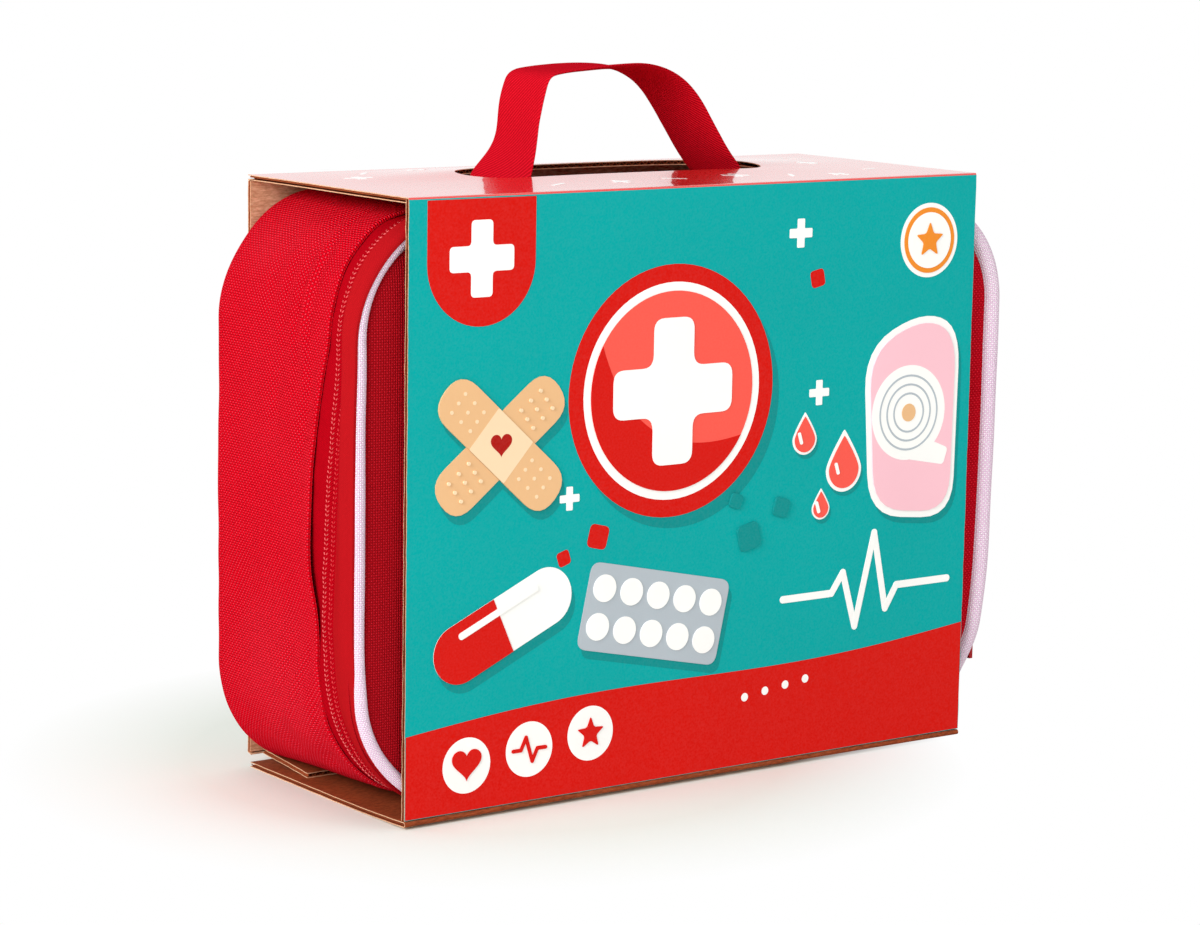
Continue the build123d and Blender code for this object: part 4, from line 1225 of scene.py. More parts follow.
def slot_and_edge():
    """Grid of the top panel between its slot and its edge: rays from the slot's middle, each cut by the
    slot, which is a straight length with round ends, and by the rectangle."""
    low_y, high_y = top_low[1], top_high[1]
    edge = [(-WIDE, low_y), (WIDE, low_y), (WIDE, high_y), (-WIDE, high_y), (-WIDE, low_y)]
    points = []
    for (x0, y0), (x1, y1) in zip(edge, edge[1:]):
        count = int(np.hypot(x1 - x0, y1 - y0) / 2.0)
        share = np.linspace(0, 1, count, endpoint=False)
        points.append(np.stack([x0 + (x1 - x0) * share, y0 + (y1 - y0) * share], 1))
    points = np.concatenate(points)
    out_x, out_y = points[:, 0], points[:, 1] - SLOT_Y
    angle = np.arctan2(out_y, out_x)
    c, s = np.cos(angle), np.sin(angle)
    flat = SLOT_RADIUS / np.maximum(np.abs(s), 1e-6)
    chord = np.sqrt(np.maximum(SLOT_RADIUS**2 - (SLOT_STRAIGHT * s) ** 2, 0))
    rounded_end = SLOT_STRAIGHT * np.abs(c) + chord
    reach = np.where(flat * np.abs(c) <= SLOT_STRAIGHT, flat, rounded_end)
    in_x, in_y = ragged(reach * c, 61, 0.05), ragged(reach * s, 62, 0.05)
    share = np.concatenate([[0, 0.02, 0.05, 0.1], np.linspace(0.18, 1, 12)])
    a = in_x[:, None] + (out_x - in_x)[:, None] * share
    b = SLOT_Y + in_y[:, None] + (out_y - in_y)[:, None] * share
    a[:, -1] = np.where(np.abs(out_x) > WIDE - 0.01, ragged(a[:, -1], 63), a[:, -1])
    return a, b


def top_surface(x, y, lift):
    """Place on the top panel: a bell across and along lifts it by the slot, more behind than before it."""
    size = 1.6 + 1.6 * smooth_steps((y + 9) / 30)
    bulge = size * np.exp(-((np.abs(x) / 78) ** 3)) * np.exp(-(((y - SLOT_Y) / 20) ** 2) / 2)
    bulge = bulge * smooth_steps((y - top_low[1]) / 14) * smooth_steps((top_high[1] - y) / 14)
    return grid(x, y, top_high[2] + bulge + lift)


def slot_rim(x, side):
    """Depth of the slot's rim at x, before it (-1) or behind it (1)."""
    past = np.clip(np.abs(x) - SLOT_STRAIGHT, 0, SLOT_RADIUS)
    return SLOT_Y + side * np.sqrt(SLOT_RADIUS**2 - past**2)


def top_panel():
    """Top: varnished outside and plain inside, with flutes along the slot and the two sides."""
    a, b = slot_and_edge()
    liner(
        "top_print", a, b, top_surface, 0.0, "sleeve", "glossy_red", "print_red_card", ring=True,
        stands_for=["sleeve_top"],
    )
    liner("top_inner_liner", a, b, top_surface, LINER - BOARD, "sleeve", ring=True)
    slot_end = SLOT_STRAIGHT + SLOT_RADIUS - 0.2
    x = np.arange(-slot_end, slot_end, FLUTE_STEP)
    for side, name in ((-1, "top_flutes_before_slot"), (1, "top_flutes_behind_slot")):
        rim = slot_rim(x, side) + side * 0.15
        flutes(name, x, (rim, rim + side * 9), top_surface, "sleeve")
    side_flutes("top", (top_low[1] + 0.3, top_high[1] - 1.2), top_surface, "sleeve")


def unit(vector):
    """The vector at length 1."""
    return vector / np.linalg.norm(vector)


def fold_line(points, radius):
    """Profile through the points with the middle ones rounded by quarter circles, and its outward normals,
    which lie on the left of the way."""
    points = np.array(points, float)
    ways = [unit(step) for step in np.diff(points, axis=0)]
    left = [np.array([-y, x]) for x, y in ways]
    places, normals = [points[0]], [left[0]]
    for point, before, n0, n1 in zip(points[1:-1], ways, left, left[1:]):
        centre = point - before * radius - n0 * radius
        for turn in np.linspace(0, pi / 2, 7):
            normal = n0 * cos(turn) + n1 * sin(turn)
            places.append(centre + normal * radius)
            normals.append(normal)
    return np.array([*places, points[-1]]), np.array([*normals, left[-1]])


def wrapped(name, profile, radius, red_after, body, colours, slot, node, seed):
    """Printed liner carried straight across along X from a profile in Y and Z that is rounded at its folds;
    past the given height it is the next colour."""
    places, normals = fold_line(profile, radius)
    line = [np.concatenate([places[0], normals[0]])]
    for start, end in zip(np.hstack([places, normals]), np.hstack([places, normals])[1:]):
        count = max(1, int(np.linalg.norm((end - start)[:2]) / 4.0))
        line += list(start + (end - start) * np.linspace(0, 1, count + 1)[1:, None])
    places, normals = np.split(np.array(line), 2, axis=1)
    x = np.repeat(np.linspace(-WIDE, WIDE, 81)[None], len(places), 0)
    x[:, 0], x[:, -1] = ragged(x[:, 0], seed), ragged(x[:, -1], seed + 1)
    shown, hidden = (grid(x, at[:, :1], at[:, 1:]) for at in (places, places - normals * LINER))
    more = {"which": np.where(places[:, 1] > red_after, 1, 0), "stands_for": [node], "slot": slot}
    uv = grid(x, walked(places)[:, None])
    slab(name, shown, hidden, uv, [*colours, "cut_kraft"], body, edges=2, **more)


FOOT_GAP = 3.1  # how high the front's printed foot ends above the floor


def face(x, z, lift):
    """Place on the sleeve's front face."""
    return grid(x, front_low[1] - lift, z)


def back_face(x, z, lift):
    """Place on the sleeve's back face."""
    return grid(x, back_high[1] + lift, z)


def front_panel():
    """Front: the printed liner from the foot up over the top crease, the plain liner inside and the flutes
    along the two cut edges."""
    y, z = front_low[1], front_high[2]
    wrapped(
        "front_print", [(y, FOOT_GAP), (y, z), (front_high[1] - 0.05, z)], 0.85, z - 0.75, "sleeve_front",
        ("teal", "glossy_red"), "print_teal_card", "sleeve_front", 71,
    )
    a, b = flat_grid(-WIDE, WIDE, FOOT_GAP, z - 0.6, 73)
    liner("front_inner_liner", a, b, face, LINER - BOARD, "sleeve_front")
    side_flutes("front", (FOOT_GAP + 0.2, z - 0.9), face, "sleeve_front", 0.15)


def back_panel():
    """Back: the printed liner, wrapped over the top crease under the top's, and a plain liner inside."""
    y, z = back_high[1], back_high[2]
    wrapped(
        "back_print", [(y - 1.0, z + 0.02), (y, z + 0.02), (y, 4.7), (y - 1.9, 4.3)], 0.8, z - 0.5, "sleeve",
        ("teal", "teal"), "kraft_card", "sleeve_back", 81,
    )
    a, b = flat_grid(-WIDE, WIDE, 5.4, z - 0.2, 83)
    # its darker kraft is painted shade
    liner("back_inner_liner", a, b, back_face, LINER - BOARD, "sleeve", "shaded_kraft")
    side_flutes("back", (5.0, z - 0.4), back_face, "sleeve", 0.3)


FRONT_RISE = 1.2  # how far the base's front edge stands off the floor


def front_rise(x):
    """Rise of the base's front edge, which is a quarter less at its two ends."""
    return FRONT_RISE * (1 - 0.25 * (x / WIDE) ** 2)


def base_surface(x, y, lift):
    """Place on the base, which bows up towards the front by a square law."""
    return grid(x, y, BOARD + front_rise(x) * np.clip((-y - 5) / 45, 0, 1) ** 2 + lift)


def base_panel():
    """Base: two plain liners with flutes at its sides, and a nose in front that is half a circle."""
    a, b = flat_grid(-WIDE, WIDE, base_low[1] + 0.35, base_high[1], 91)
    liner("base_inner_liner", a, b, base_surface, 0.0, "sleeve", stands_for=["sleeve_bottom"])
    liner("base_outer_liner", a, b, base_surface, LINER - BOARD, "sleeve")
    side_flutes("base", (base_low[1] + 0.5, base_high[1] - 0.2), base_surface, "sleeve", 0.4)
    x = np.linspace(-WIDE, WIDE, 81)[:, None]
    turn = np.linspace(-pi / 2, pi / 2, 9)
    both_sides = []
    for radius in (BOARD / 2, BOARD / 2 - LINER):
        y = base_low[1] + 0.55 - radius * np.cos(turn)
        both_sides.append(grid(x, y, BOARD / 2 + front_rise(x) + radius * np.sin(turn)))
    uv = both_sides[0][..., [0, 2]]
    slab("base_nose", *both_sides, uv, ["kraft", "cut_kraft"], "sleeve", edges=1, slot="kraft_card")


def lock_flap():
    """Tuck flap, hinged at the back panel's foot, that lies on the base. It slopes down from its hinge: near
    the middle only behind the case's rounded edge, towards its free ends all the way."""
    low, high = flap_low, flap_high
    drop_by = 2.4
    a, b = flat_grid(low[0], high[0], low[1], high[1] - 0.2, 101, 2.0)

    def surface(x, y, lift):
        """Place on the flap."""
        back = np.clip((y - low[1]) / (high[1] - low[1]), 0, 1)
        slope = drop_by * back
        tucked = drop_by * smooth_steps((back - 0.62) / 0.38)
        free = smooth_steps((np.abs(x) - 94) / 16)
        sag = 0.3 * (1 - free) * (1 - back)
        return grid(x, y, high[2] - 0.1 - sag + tucked + (slope - tucked) * free + lift)

    liner("flap_upper_liner", a, b, surface, 0.0, "sleeve", stands_for=["sleeve_lock_flap"])
    liner("flap_lower_liner", a, b, surface, LINER - BOARD, "sleeve")
    side_flutes("flap", (low[1] + 0.3, high[1] - 0.5), surface, "sleeve", 0.1, high[0] - 0.2)


# -------------------- print


def rear(x, z, lift):
    """Place on the back face for a print that is laid out from behind."""
    return back_face(-x, z, lift)


def arc(x, z, radius, start, end, count=40):
    """Points of an arc between two angles in degrees."""
    turn = np.radians(np.linspace(start, end, count))
    return np.stack([x + radius * np.cos(turn), z + radius * np.sin(turn)], 1)


def disc(x, z, radius, count=72):
    """Outline of a disc."""
    return arc(x, z, radius, 0, 360, count + 1)[:-1]


def turned(points, x, z, degrees):
    """Points about the origin, turned and then put at x, z."""
    c, s = cos(radians(degrees)), sin(radians(degrees))
    points = np.asarray(points, float)
    return np.stack([x + points[:, 0] * c - points[:, 1] * s, z + points[:, 0] * s + points[:, 1] * c], 1)


def softened(points, radius, count=7):
    """Closed line with each corner replaced by a parabola between the points at radius from it."""
    points = np.asarray(points, float)
    before, after = np.roll(points, 1, 0), np.roll(points, -1, 0)
    size = [np.linalg.norm(p - points, axis=1, keepdims=True) for p in (before, after)]
    start = points + (before - points) / size[0] * np.minimum(radius, size[0] / 2)
    end = points + (after - points) / size[1] * np.minimum(radius, size[1] / 2)
    t = np.linspace(0, 1, count)[None, :, None]
    curve = (1 - t) ** 2 * start[:, None] + 2 * t * (1 - t) * points[:, None] + t**2 * end[:, None]
    return curve.reshape(-1, 2)


def block_of(wide, high, radius, x, z, degrees=0.0):
    """Rounded rectangle about its middle."""
    w, h = wide / 2, high / 2
    return turned(softened([(-w, -h), (w, -h), (w, h), (-w, h)], radius), x, z, degrees)


def plus_corners(reach, half):
    """The twelve corners of a plus sign: three of them, and the same after each quarter turn."""
    turns = [np.array([(-half, reach), (-half, half), (-reach, half)], float)]
    for _ in range(3):
        turns.append(turns[-1][:, ::-1] * (-1, 1))
    return np.concatenate(turns)


def plus(reach, half, radius, x, z, degrees=0.0):
    """Plus sign with rounded corners."""
    return turned(softened(plus_corners(reach, half), radius), x, z, degrees)


def star(outer, inner, x, z, points=5):
    """Star with soft points."""
    number = np.arange(2 * points)
    angle, reach = number * pi / points + pi / 2, np.where(number % 2 == 0, outer, inner)
    return softened(np.stack([reach * np.cos(angle), reach * np.sin(angle)], 1), outer * 0.16) + (x, z)


def drop(size, x, z, degrees=0.0):
    """Water drop: a circle drawn out to a point."""
    turn = np.linspace(-pi / 2, 3 * pi / 2, 48, endpoint=False)
    up = np.sin(turn)
    above = np.clip(up, 0, None)
    narrow = np.sqrt(1 - 0.95 * above**1.6)
    return turned(size * grid(np.cos(turn) * narrow, up + 0.75 * above**2), x, z, degrees)


def heart(half_width, x, z):
    """Heart: sines of one and three times the turn across, cosines of one to four times it up."""
    turn = np.linspace(0, 2 * pi, 60, endpoint=False)
    up = 13 * np.cos(turn) - 5 * np.cos(2 * turn) - 2 * np.cos(3 * turn) - np.cos(4 * turn) + 2.5
    return np.stack([x + half_width * np.sin(turn) ** 3, z + half_width / 16 * up], -1)


def shape_print(layers, surface, body, prefix, slot):
    """Printed shapes, each layer 0.03 mm over the last so that it covers it."""
    for number, (finish_name, outlines) in enumerate(layers, 1):
        name, lift = f"{prefix}_{number:02d}_{finish_name}", 0.03 * number
        plates(name, outlines, lift, lift + 0.01, surface, finish_name, body, slot=slot)


def wave_band(low, left, right, crest):
    """Band along the foot whose upper edge rises from left to right as a slow wave."""
    end = WIDE - 0.25
    x = np.linspace(-end, end, 120)
    share = (x + WIDE) / (2 * WIDE)
    top = left + (right - left) * share + crest * np.sin(2 * pi * share)
    return np.concatenate([grid(x, top), [(end, low), (-end, low)]])


def pill_pack(x, z, degrees):
    """Outline of a blister pack's foil, and the places of its ten pills in two rows."""
    spots = [(-23 + 11.5 * i, s * 6.6) for i in range(5) for s in (-1, 1)]
    return block_of(60, 30, 4, x, z, degrees), turned(spots, x, z, degrees)


def plaster(x, z, degrees, scale=1.0):
    """Outlines of a sticking plaster: its strip, its pad, and its air holes."""
    strip = block_of(54 * scale, 16 * scale, 8 * scale, x, z, degrees)
    pad = block_of(17 * scale, 16 * scale, 0.6, x, z, degrees)
    spots = np.array([(a, b) for a in (-21, -16.5, -12, 12, 16.5, 21) for b in (-3.6, 0, 3.6)])
    return strip, pad, [disc(*at, 0.62 * scale, 14) for at in turned(spots * scale, x, z, degrees)]


def moved(outlines, dx, dz):
    """The same outlines elsewhere, as for a shadow."""
    return [np.asarray(line) + [dx, dz] for line in outlines]


def crescent(x, z, radius, start, end, bite):
    """Part of a disc's edge from start to end degrees, closed by a shallower arc that passes bite inside
    the middle of it."""
    outer = arc(x, z, radius, start, end, 60)
    a, b = outer[0], outer[-1]
    middle = arc(x, z, radius - bite, (start + end) / 2, (start + end) / 2, 1)[0]
    t = np.linspace(0, 1, 40)[1:-1, None]
    lead = 2 * middle - (a + b) / 2
    inner = (1 - t) ** 2 * b + 2 * t * (1 - t) * lead + t**2 * a
    return np.concatenate([outer, inner])


def squares_at(*rows):
    """Rounded squares, each of a side, a corner radius, a place and a turn in degrees."""
    return [block_of(side, side, *rest) for side, *rest in rows]


def zigzag(points, width):
    """Straight-sided line of even width through the points, as separate bars with a disc at each joint."""
    points = np.asarray(points, float)
    bars = []
    for a, b in zip(points, points[1:]):
        side = np.array([a[1] - b[1], b[0] - a[0]]) / np.linalg.norm(b - a) * width / 2
        bars.append(np.array([a + side, a - side, b - side, b + side]))
    return bars, [disc(*p, width / 2, 20) for p in points]


def ring_line(x, z, radius, width):
    """Thin ring as two half rings."""
    halves = []
    for start in (0, 180):
        outer = arc(x, z, radius, start, start + 180, 40)
        halves.append(np.concatenate([outer, arc(x, z, radius - width, start + 180, start, 40)]))
    return halves


def front_layers():
    """The front's own design on plain teal: first-aid shapes, flat and in few colours."""
    roundel = (-14.0, 137.0)
    foil, pills = pill_pack(-20, 61, -12)
    crossed = (-84, 124)
    strip_a, _, holes_a = plaster(*crossed, 38, 1.08)
    strip_b, pad_b, holes_b = plaster(*crossed, -42, 1.08)
    leaning = (-82.0, 64.0, 24)
    capsule = np.concatenate([arc(-19, 0, 10, 90, 270, 30), arc(19, 0, 10, -90, 90, 30)])
    half_capsule = np.concatenate([arc(-19, 0, 9.99, 90, 270, 30), [(0, -9.99), (0, 9.99)]])
    capsule, half_capsule = turned(capsule, *leaning), turned(half_capsule, *leaning)
    gleam = turned(block_of(34, 2.4, 1.2, 0, 5.2), *leaning)
    drops = ((8.0, 62, 104), (5.4, 44, 116), (4.0, 52, 91))
    pulse_line = [(36, 60), (58, 60), (63, 67), (69, 47), (77, 80), (83, 52), (88, 60), (112, 60)]
    pulse, joins = zigzag(pulse_line, 2.6)
    panel = softened([(74, 86), (113.5, 82), (114.5, 152), (96, 158), (70, 146)], 15)
    panel_in = softened([(76.2, 88.2), (111.5, 84.6), (112.4, 149.6), (96, 155.4), (72.3, 144.4)], 13.6)
    roll = (91.0, 122.0)
    tail = softened([(91, 105.2), (108, 102), (110, 108), (100, 112), (95, 118)], 1.5)
    badge = (98.5, 183.0)
    tag = np.concatenate([[(-71, 204.9), (-113, 204.9)], arc(-92, 184.5, 21, 180, 360, 40)])
    squares = squares_at((9, 2, 20, 84, 14), (6.5, 1.6, 34, 93, -16), (5, 1.2, 14, 97, -20))
    red_squares = squares_at((8, 2, -44, 90, -14), (5, 1.3, -58, 84, 18), (6, 1.5, 48, 172, 12))
    icons = [(-96, 18.6), (-71, 20.8), (-46, 23.0)]
    beat_line = [(-77.5, 20.8), (-74.4, 20.8), (-72.4, 25), (-69.8, 16.6), (-67.8, 20.8), (-64.5, 20.8)]
    beat, beat_joins = zigzag(beat_line, 1.3)
    return [
        ("deep_teal", [
            disc(roundel[0] + 3, roundel[1] - 4, 43), *moved([foil, strip_a, capsule], 1.6, -3.2),
            *[drop(size, a + 0.9, b - 1.6) for size, a, b in drops], *moved([panel], 1.5, -2.4),
        ]),
        ("deep_teal", moved([strip_b], 1.6, -3.2)),
        ("red", [wave_band(3.3, 31, 43, 2.2), disc(*roundel, 43), tag, *red_squares]),
        ("white", [
            disc(*roundel, 37.0), capsule, *[drop(*each) for each in drops], *pulse[::2], panel,
            plus(12.5, 4.2, 1.6, -92, 185.5), disc(*badge, 13.2), *[disc(a, b, 9.4) for a, b in icons],
            plus(5, 1.6, 0.5, 40, 188), plus(4, 1.3, 0.4, -56, 104), plus(4.4, 1.4, 0.4, 50, 132),
            *[disc(a, b, 1.5, 20) for a, b in ((20, 27.2), (29, 28.4), (38, 29.5), (47, 30.6))],
        ]),
        ("white", pulse[1::2]),
        ("white", joins),
        ("grey", [foil]),
        ("tan", [strip_a]),
        ("orange", [disc(*badge, 11.6)]),
        ("bright_red", [disc(*roundel, 34.0), *[drop(size * 0.84, a, b) for size, a, b in drops]]),
        ("red", [half_capsule]),
        ("white", [disc(*badge, 9.9)]),
        ("red", [
            crescent(*roundel, 34.0, 150, 330, 19), heart(5.8, *icons[0]), *beat[::2],
            star(5.8, 2.5, *icons[2]),
        ]),
        ("red", beat[1::2]),
        ("red", beat_joins),
        ("pink", [panel_in]),
        ("white", [
            plus(25, 8.4, 4.4, *roundel), disc(*roll, 17), *[disc(a, b, 4.7, 36) for a, b in pills], gleam,
            *[block_of(1.3, 4.4, 0.6, a - size * 0.4, b + 0.5, 18) for size, a, b in drops],
        ]),
        ("white", [tail]),
        ("grey", [half for r in (13.6, 10.4, 7.2) for half in ring_line(*roll, r, 0.7)]),
        ("orange", [star(6.6, 2.9, *badge)]),
        ("tan", [strip_b, disc(*roll, 3.2, 30)]),
        ("pale_tan", [pad_b]),
        ("deep_red", [heart(4.2, *crossed)]),
        ("deep_teal", squares),
        ("pale_tan", [*holes_b, *[hole for hole in holes_a if np.hypot(*(hole.mean(0) - crossed)) > 12.5]]),
    ]


def back_layers():
    """The back's design: a band along the foot, and rows of small plus signs."""
    spots = [(-90 + 30 * i, 60 + 34 * j + 17 * (i % 2)) for i in range(7) for j in range(4)]
    signs = [plus(6, 2, 0.6, x, z, 8 * (i % 3 - 1)) for i, (x, z) in enumerate(spots) if z < 195]
    return [("red", [wave_band(5.6, 34, 26, 2.0)]), ("deep_teal", signs)]


def top_marks():
    """A few white marks on the varnished top: plus signs and short strokes round the slot."""
    signs = (
        (-22, -30, 4, 12), (30, -26, 5, -20), (70, -34, 4, 30), (88, 6, 5, 10), (-96, 18, 5, -15),
        (60, 34, 4, 0), (-60, 38, 4, 20), (8, 38, 5, -8),
    )  # fmt: skip
    strokes = (-48, -30, 30), (2, -28, -24), (50, -32, 60), (96, -20, 15), (100, 30, -40), (-84, 34, 50)
    outlines = [plus(size, size * 0.3, 0.5, x, y, degrees) for x, y, size, degrees in signs]
    outlines += [block_of(9, 1.8, 0.9, *each) for each in strokes]
    plates("top_marks", outlines, 0.05, 0.12, top_surface, "glossy_white", "sleeve", slot="print_red_card")


# -------------------- handle

strap_low, strap_high = corners("handle_strap")
anchor_low, anchor_high = corners("handle_anchors")
STRAP_Y, STRAP_WIDE, STRAP_THICK = (strap_low[1] + strap_high[1]) / 2, strap_high[1] - strap_low[1], 1.4
STRAP_LINE = (
    (-51.6, 198.6), (-48.0, 203.5), (-43.2, 210.5), (-39.8, 218.0), (-38.6, 227.0), (-36.8, 235.0),
    (-34.8, 240.6), (-28.5, 241.9), (-17.5, 242.6), (-6.5, 243.1), (4.5, 242.9), (13.5, 240.8),
    (21.5, 236.3), (28.0, 229.5), (34.0, 221.0), (40.7, 211.5), (47.8, 204.0), (51.7, 197.9),
)  # fmt: skip


# The webbing's roll in degrees at shares of its length
STRAP_ROLL = (
    (0, 10), (0.04, 20), (0.07, 16), (0.12, 4), (0.17, -1), (0.24, 3), (0.34, 1), (0.42, 0), (0.5, -2),
    (0.62, -6), (0.74, -11), (0.86, -11), (0.95, -10), (1, 0),
)  # fmt: skip


def strap():
    """Webbing handle: a flat band carried along a smooth line in X and Z. It rolls about the line by a
    table of angles, cups by a square law across, and its selvedges round off by an eighth-power law."""
    line = spline_line([(x, 0.0, z) for x, z in STRAP_LINE])
    along = walked(line)
    steps = np.linspace(0, along[-1], 150)
    x, z = (np.interp(steps, along, line[:, k]) for k in (0, 2))
    way = np.stack([np.gradient(x), np.gradient(z)], 1)
    way /= np.linalg.norm(way, axis=1, keepdims=True)
    share = steps / along[-1]
    knots = [0, 0.10, 0.24, 0.34, 0.42, 0.55, 0.66, 0.78, 0.9, 1.0]
    roll = np.radians(np.interp(share, *zip(*STRAP_ROLL)))
    roll = np.convolve(np.pad(roll, 4, mode="edge"), np.ones(9) / 9, mode="valid")
    cup = np.interp(share, knots, [0, 0.3, 0.5, 0.3, 0.8, 1.2, 0.8, 0.4, 0.2, 0])
    shift = np.interp(share, knots, [0, 0.4, 0.8, 0.6, 0.2, -0.3, 0.0, 0.3, 0.2, 0])
    x, z, steps, roll, cup, shift = (column[:, None] for column in (x, z, steps, roll, cup, shift))
    w = np.linspace(-1, 1, 25)
    across = w * (STRAP_WIDE / 2 - 0.3)
    thick = STRAP_THICK / 2 * np.sqrt(np.clip(1 - np.abs(w) ** 8, 0.02, 1))
    faces = []
    for side in (1, -1):
        up = cup * (w**2 - 0.4) + 0.1 * np.sin(steps / 9) * w + side * thick
        rise = across * np.sin(roll) + up
        y = STRAP_Y + shift + across * np.cos(roll)
        faces.append(grid(x - way[:, 1:] * rise, y, z + way[:, :1] * rise))
    made = slab(
        "handle_webbing", *faces, grid(steps, across), "webbing", "handle", stands_for=["handle_strap"],
        slot="red_webbing", sharp=50,
    )
    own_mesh(made)


SEWN_LONG = 22.0


def ground(x, y, lift=0.0):
    """Place on the case's soft top."""
    s = STOPS[4] + half_x + x
    return grid(x, y, case_high[2] + soft(s, y) - creases(s, y) + 0.1 + lift)


def anchors():
    """The webbing's two ends, sewn on the case's soft top with a boxed cross of stitches."""
    w = np.linspace(-1, 1, 21)
    edge = STRAP_THICK * np.sqrt(np.clip(1 - np.abs(w) ** 8, 0.03, 1))
    sewn = 0.35 * np.exp(-((np.abs(w) - 0.8) / 0.08) ** 2)
    y = STRAP_Y + w * 12.5
    for near, name, nodes in (
        (anchor_low[0], "left", ["handle_anchors"]), (anchor_high[0] - SEWN_LONG, "right", []),
    ):
        x = np.linspace(near, near + SEWN_LONG, 24)[:, None]
        slab(
            f"handle_end_{name}", ground(x, y, edge - sewn), ground(x, y, -0.05), grid(x, y), "webbing",
            "case", stands_for=nodes, slot="red_webbing",
        )
        a, b = near + 3, near + SEWN_LONG - 3
        corners_of = [(a, -10), (b, -10), (b, 10), (a, 10), (a, -10), (b, 10), (b, -10), (a, 10)]
        outlines = []
        for start, end in zip(np.array(corners_of), np.array(corners_of)[1:]):
            count = int(np.linalg.norm(end - start) / 2.4)
            angle = np.degrees(np.arctan2(*(end - start)[::-1]))
            for share in (np.arange(count) + 0.5) / count:
                x0, y0 = start + (end - start) * share
                outlines.append(block_of(1.7, 0.4, 0.2, x0, STRAP_Y + y0, angle))
        name, lift = f"handle_end_{name}_stitches", STRAP_THICK + 0.12
        plates(name, outlines, lift, 0.3, ground, "red_stitch", "case", slot="red_webbing")


top_panel()
front_panel()
back_panel()
base_panel()
lock_flap()
shape_print(front_layers(), face, "sleeve_front", "front_ink", "print_teal_card")
shape_print(back_layers(), rear, "sleeve", "back_ink", "kraft_card")
top_marks()
strap()
anchors()

# -------------------- what is in the case

LOOKS = {
    "beech": ("ointment_tube", "plunger_rod"),
    "red_lacquer": ("ointment_cap", "plunger_knob", "pump_caps", "syringe_flange", "bulb", "bulb_nozzle"),
    "white_lacquer": ("pump_barrel", "syringe_barrel", "thermometer_stick"),
    "grey_lacquer": ("gauge_block", "gauge_ferrules"),
    "silver_lacquer": ("syringe_nozzle", "thermometer_tip"),
    "red_vinyl": ("chest_piece", "chest_stem", "ear_tube_left", "ear_tube_right", "thermometer_column"),
    "white_vinyl": ("binaural_spring", "ear_tips", "stethoscope_fork"),
    "pink_vinyl": ("ear_sleeve_left", "ear_sleeve_right"),
    "clear": ("thermometer_slider",),
    "grey_board": ("note_pad_card",),
    "foam": ("case_back_stiffener",),
    "enamel": ("zip_end_stops", "zip_slider", "zip_pull"),
}  # fmt: skip
for finish_name, node_names in LOOKS.items():
    for node_name in node_names:
        for material_slot in frame["nodes"][node_name].material_slots:
            material_slot.material = MATERIALS[finish_name]


def skins(name, layers, finish_name, body, **more):
    """One piece made of several thin closed skins. Each layer is a front grid, a back grid, and whether its
    rows close into a ring."""
    points, faces, start = [], [], 0
    for front, back, ring in layers:
        rows, columns = front.shape[:2]
        size = rows * columns
        points += [front.reshape(-1, 3), back.reshape(-1, 3)]
        quads = grid_faces(rows, columns, ring)[0] + start
        faces += quads.tolist() + (quads[:, ::-1] + size).tolist()
        for line in rim_lines(rows, columns, ring):
            faces += rim_quads(line + start, size).tolist()
        start += 2 * size
    points = np.concatenate(points)
    uv = points[np.concatenate(faces)][:, [0, 2]]
    return piece(name, points, faces, finish_name, body, uv=uv, **more)


def filled(outline_points, inner=None):
    """Rings of flat points from an outline to an inner one, or to its middle, whose rows close."""
    outer = np.asarray(outline_points, float)
    middle = outer.mean(0)
    inner = middle + 0.004 * (outer - middle) if inner is None else np.asarray(inner, float)
    return outer[:, None] + (inner - outer)[:, None] * np.linspace(0, 1, 5)[:, None], True


def bar_between(start, end, width):
    """Flat straight bar, divided about every millimetre along its length."""
    start, end = np.array(start, float), np.array(end, float)
    length = np.hypot(*(end - start))
    across = np.array([start[1] - end[1], end[0] - start[0]]) / length * width / 2
    along = start + (end - start) * np.linspace(0, 1, int(length) + 2)[:, None]
    return np.stack([along - across, along + across], 1), False


circle = partial(disc, count=48)


def plus_outline(x, z, arm, half_width, steps=5):
    """Outline of a plus sign, with its sides divided so that it can follow a curved surface."""
    corners_of = plus_corners(arm, half_width)
    share = np.linspace(0, 1, steps, endpoint=False)[:, None]
    sides = [start + (end - start) * share for start, end in zip(corners_of, np.roll(corners_of, -1, 0))]
    return np.concatenate(sides) + (x, z)


def marks(name, on, shapes, finish_name, body="case", lift=0.06):
    """Thin printed or sewn-on shapes: flat points x, z are carried straight back along Y until they meet
    the mesh that they lie on, and raised off it by lift."""
    mesh = on.data
    tree = BVHTree.FromPolygons([v.co for v in mesh.vertices], [p.vertices[:] for p in mesh.polygons])
    far = min(v.co.y for v in mesh.vertices) - 0.01
    layers = []
    for flat, ring in shapes:
        starts = [Vector((x * MM, far, z * MM)) for x, z in flat.reshape(-1, 2)]
        met = [tree.ray_cast(start, (0, 1, 0))[0] or tree.find_nearest(start)[0] for start in starts]
        met = np.array([point[:] for point in met]).reshape(*flat.shape[:2], 3) / MM
        layers.append((met - (0, lift, 0), met + (0, 0.04, 0), ring))
    return skins(name, layers, finish_name, body)


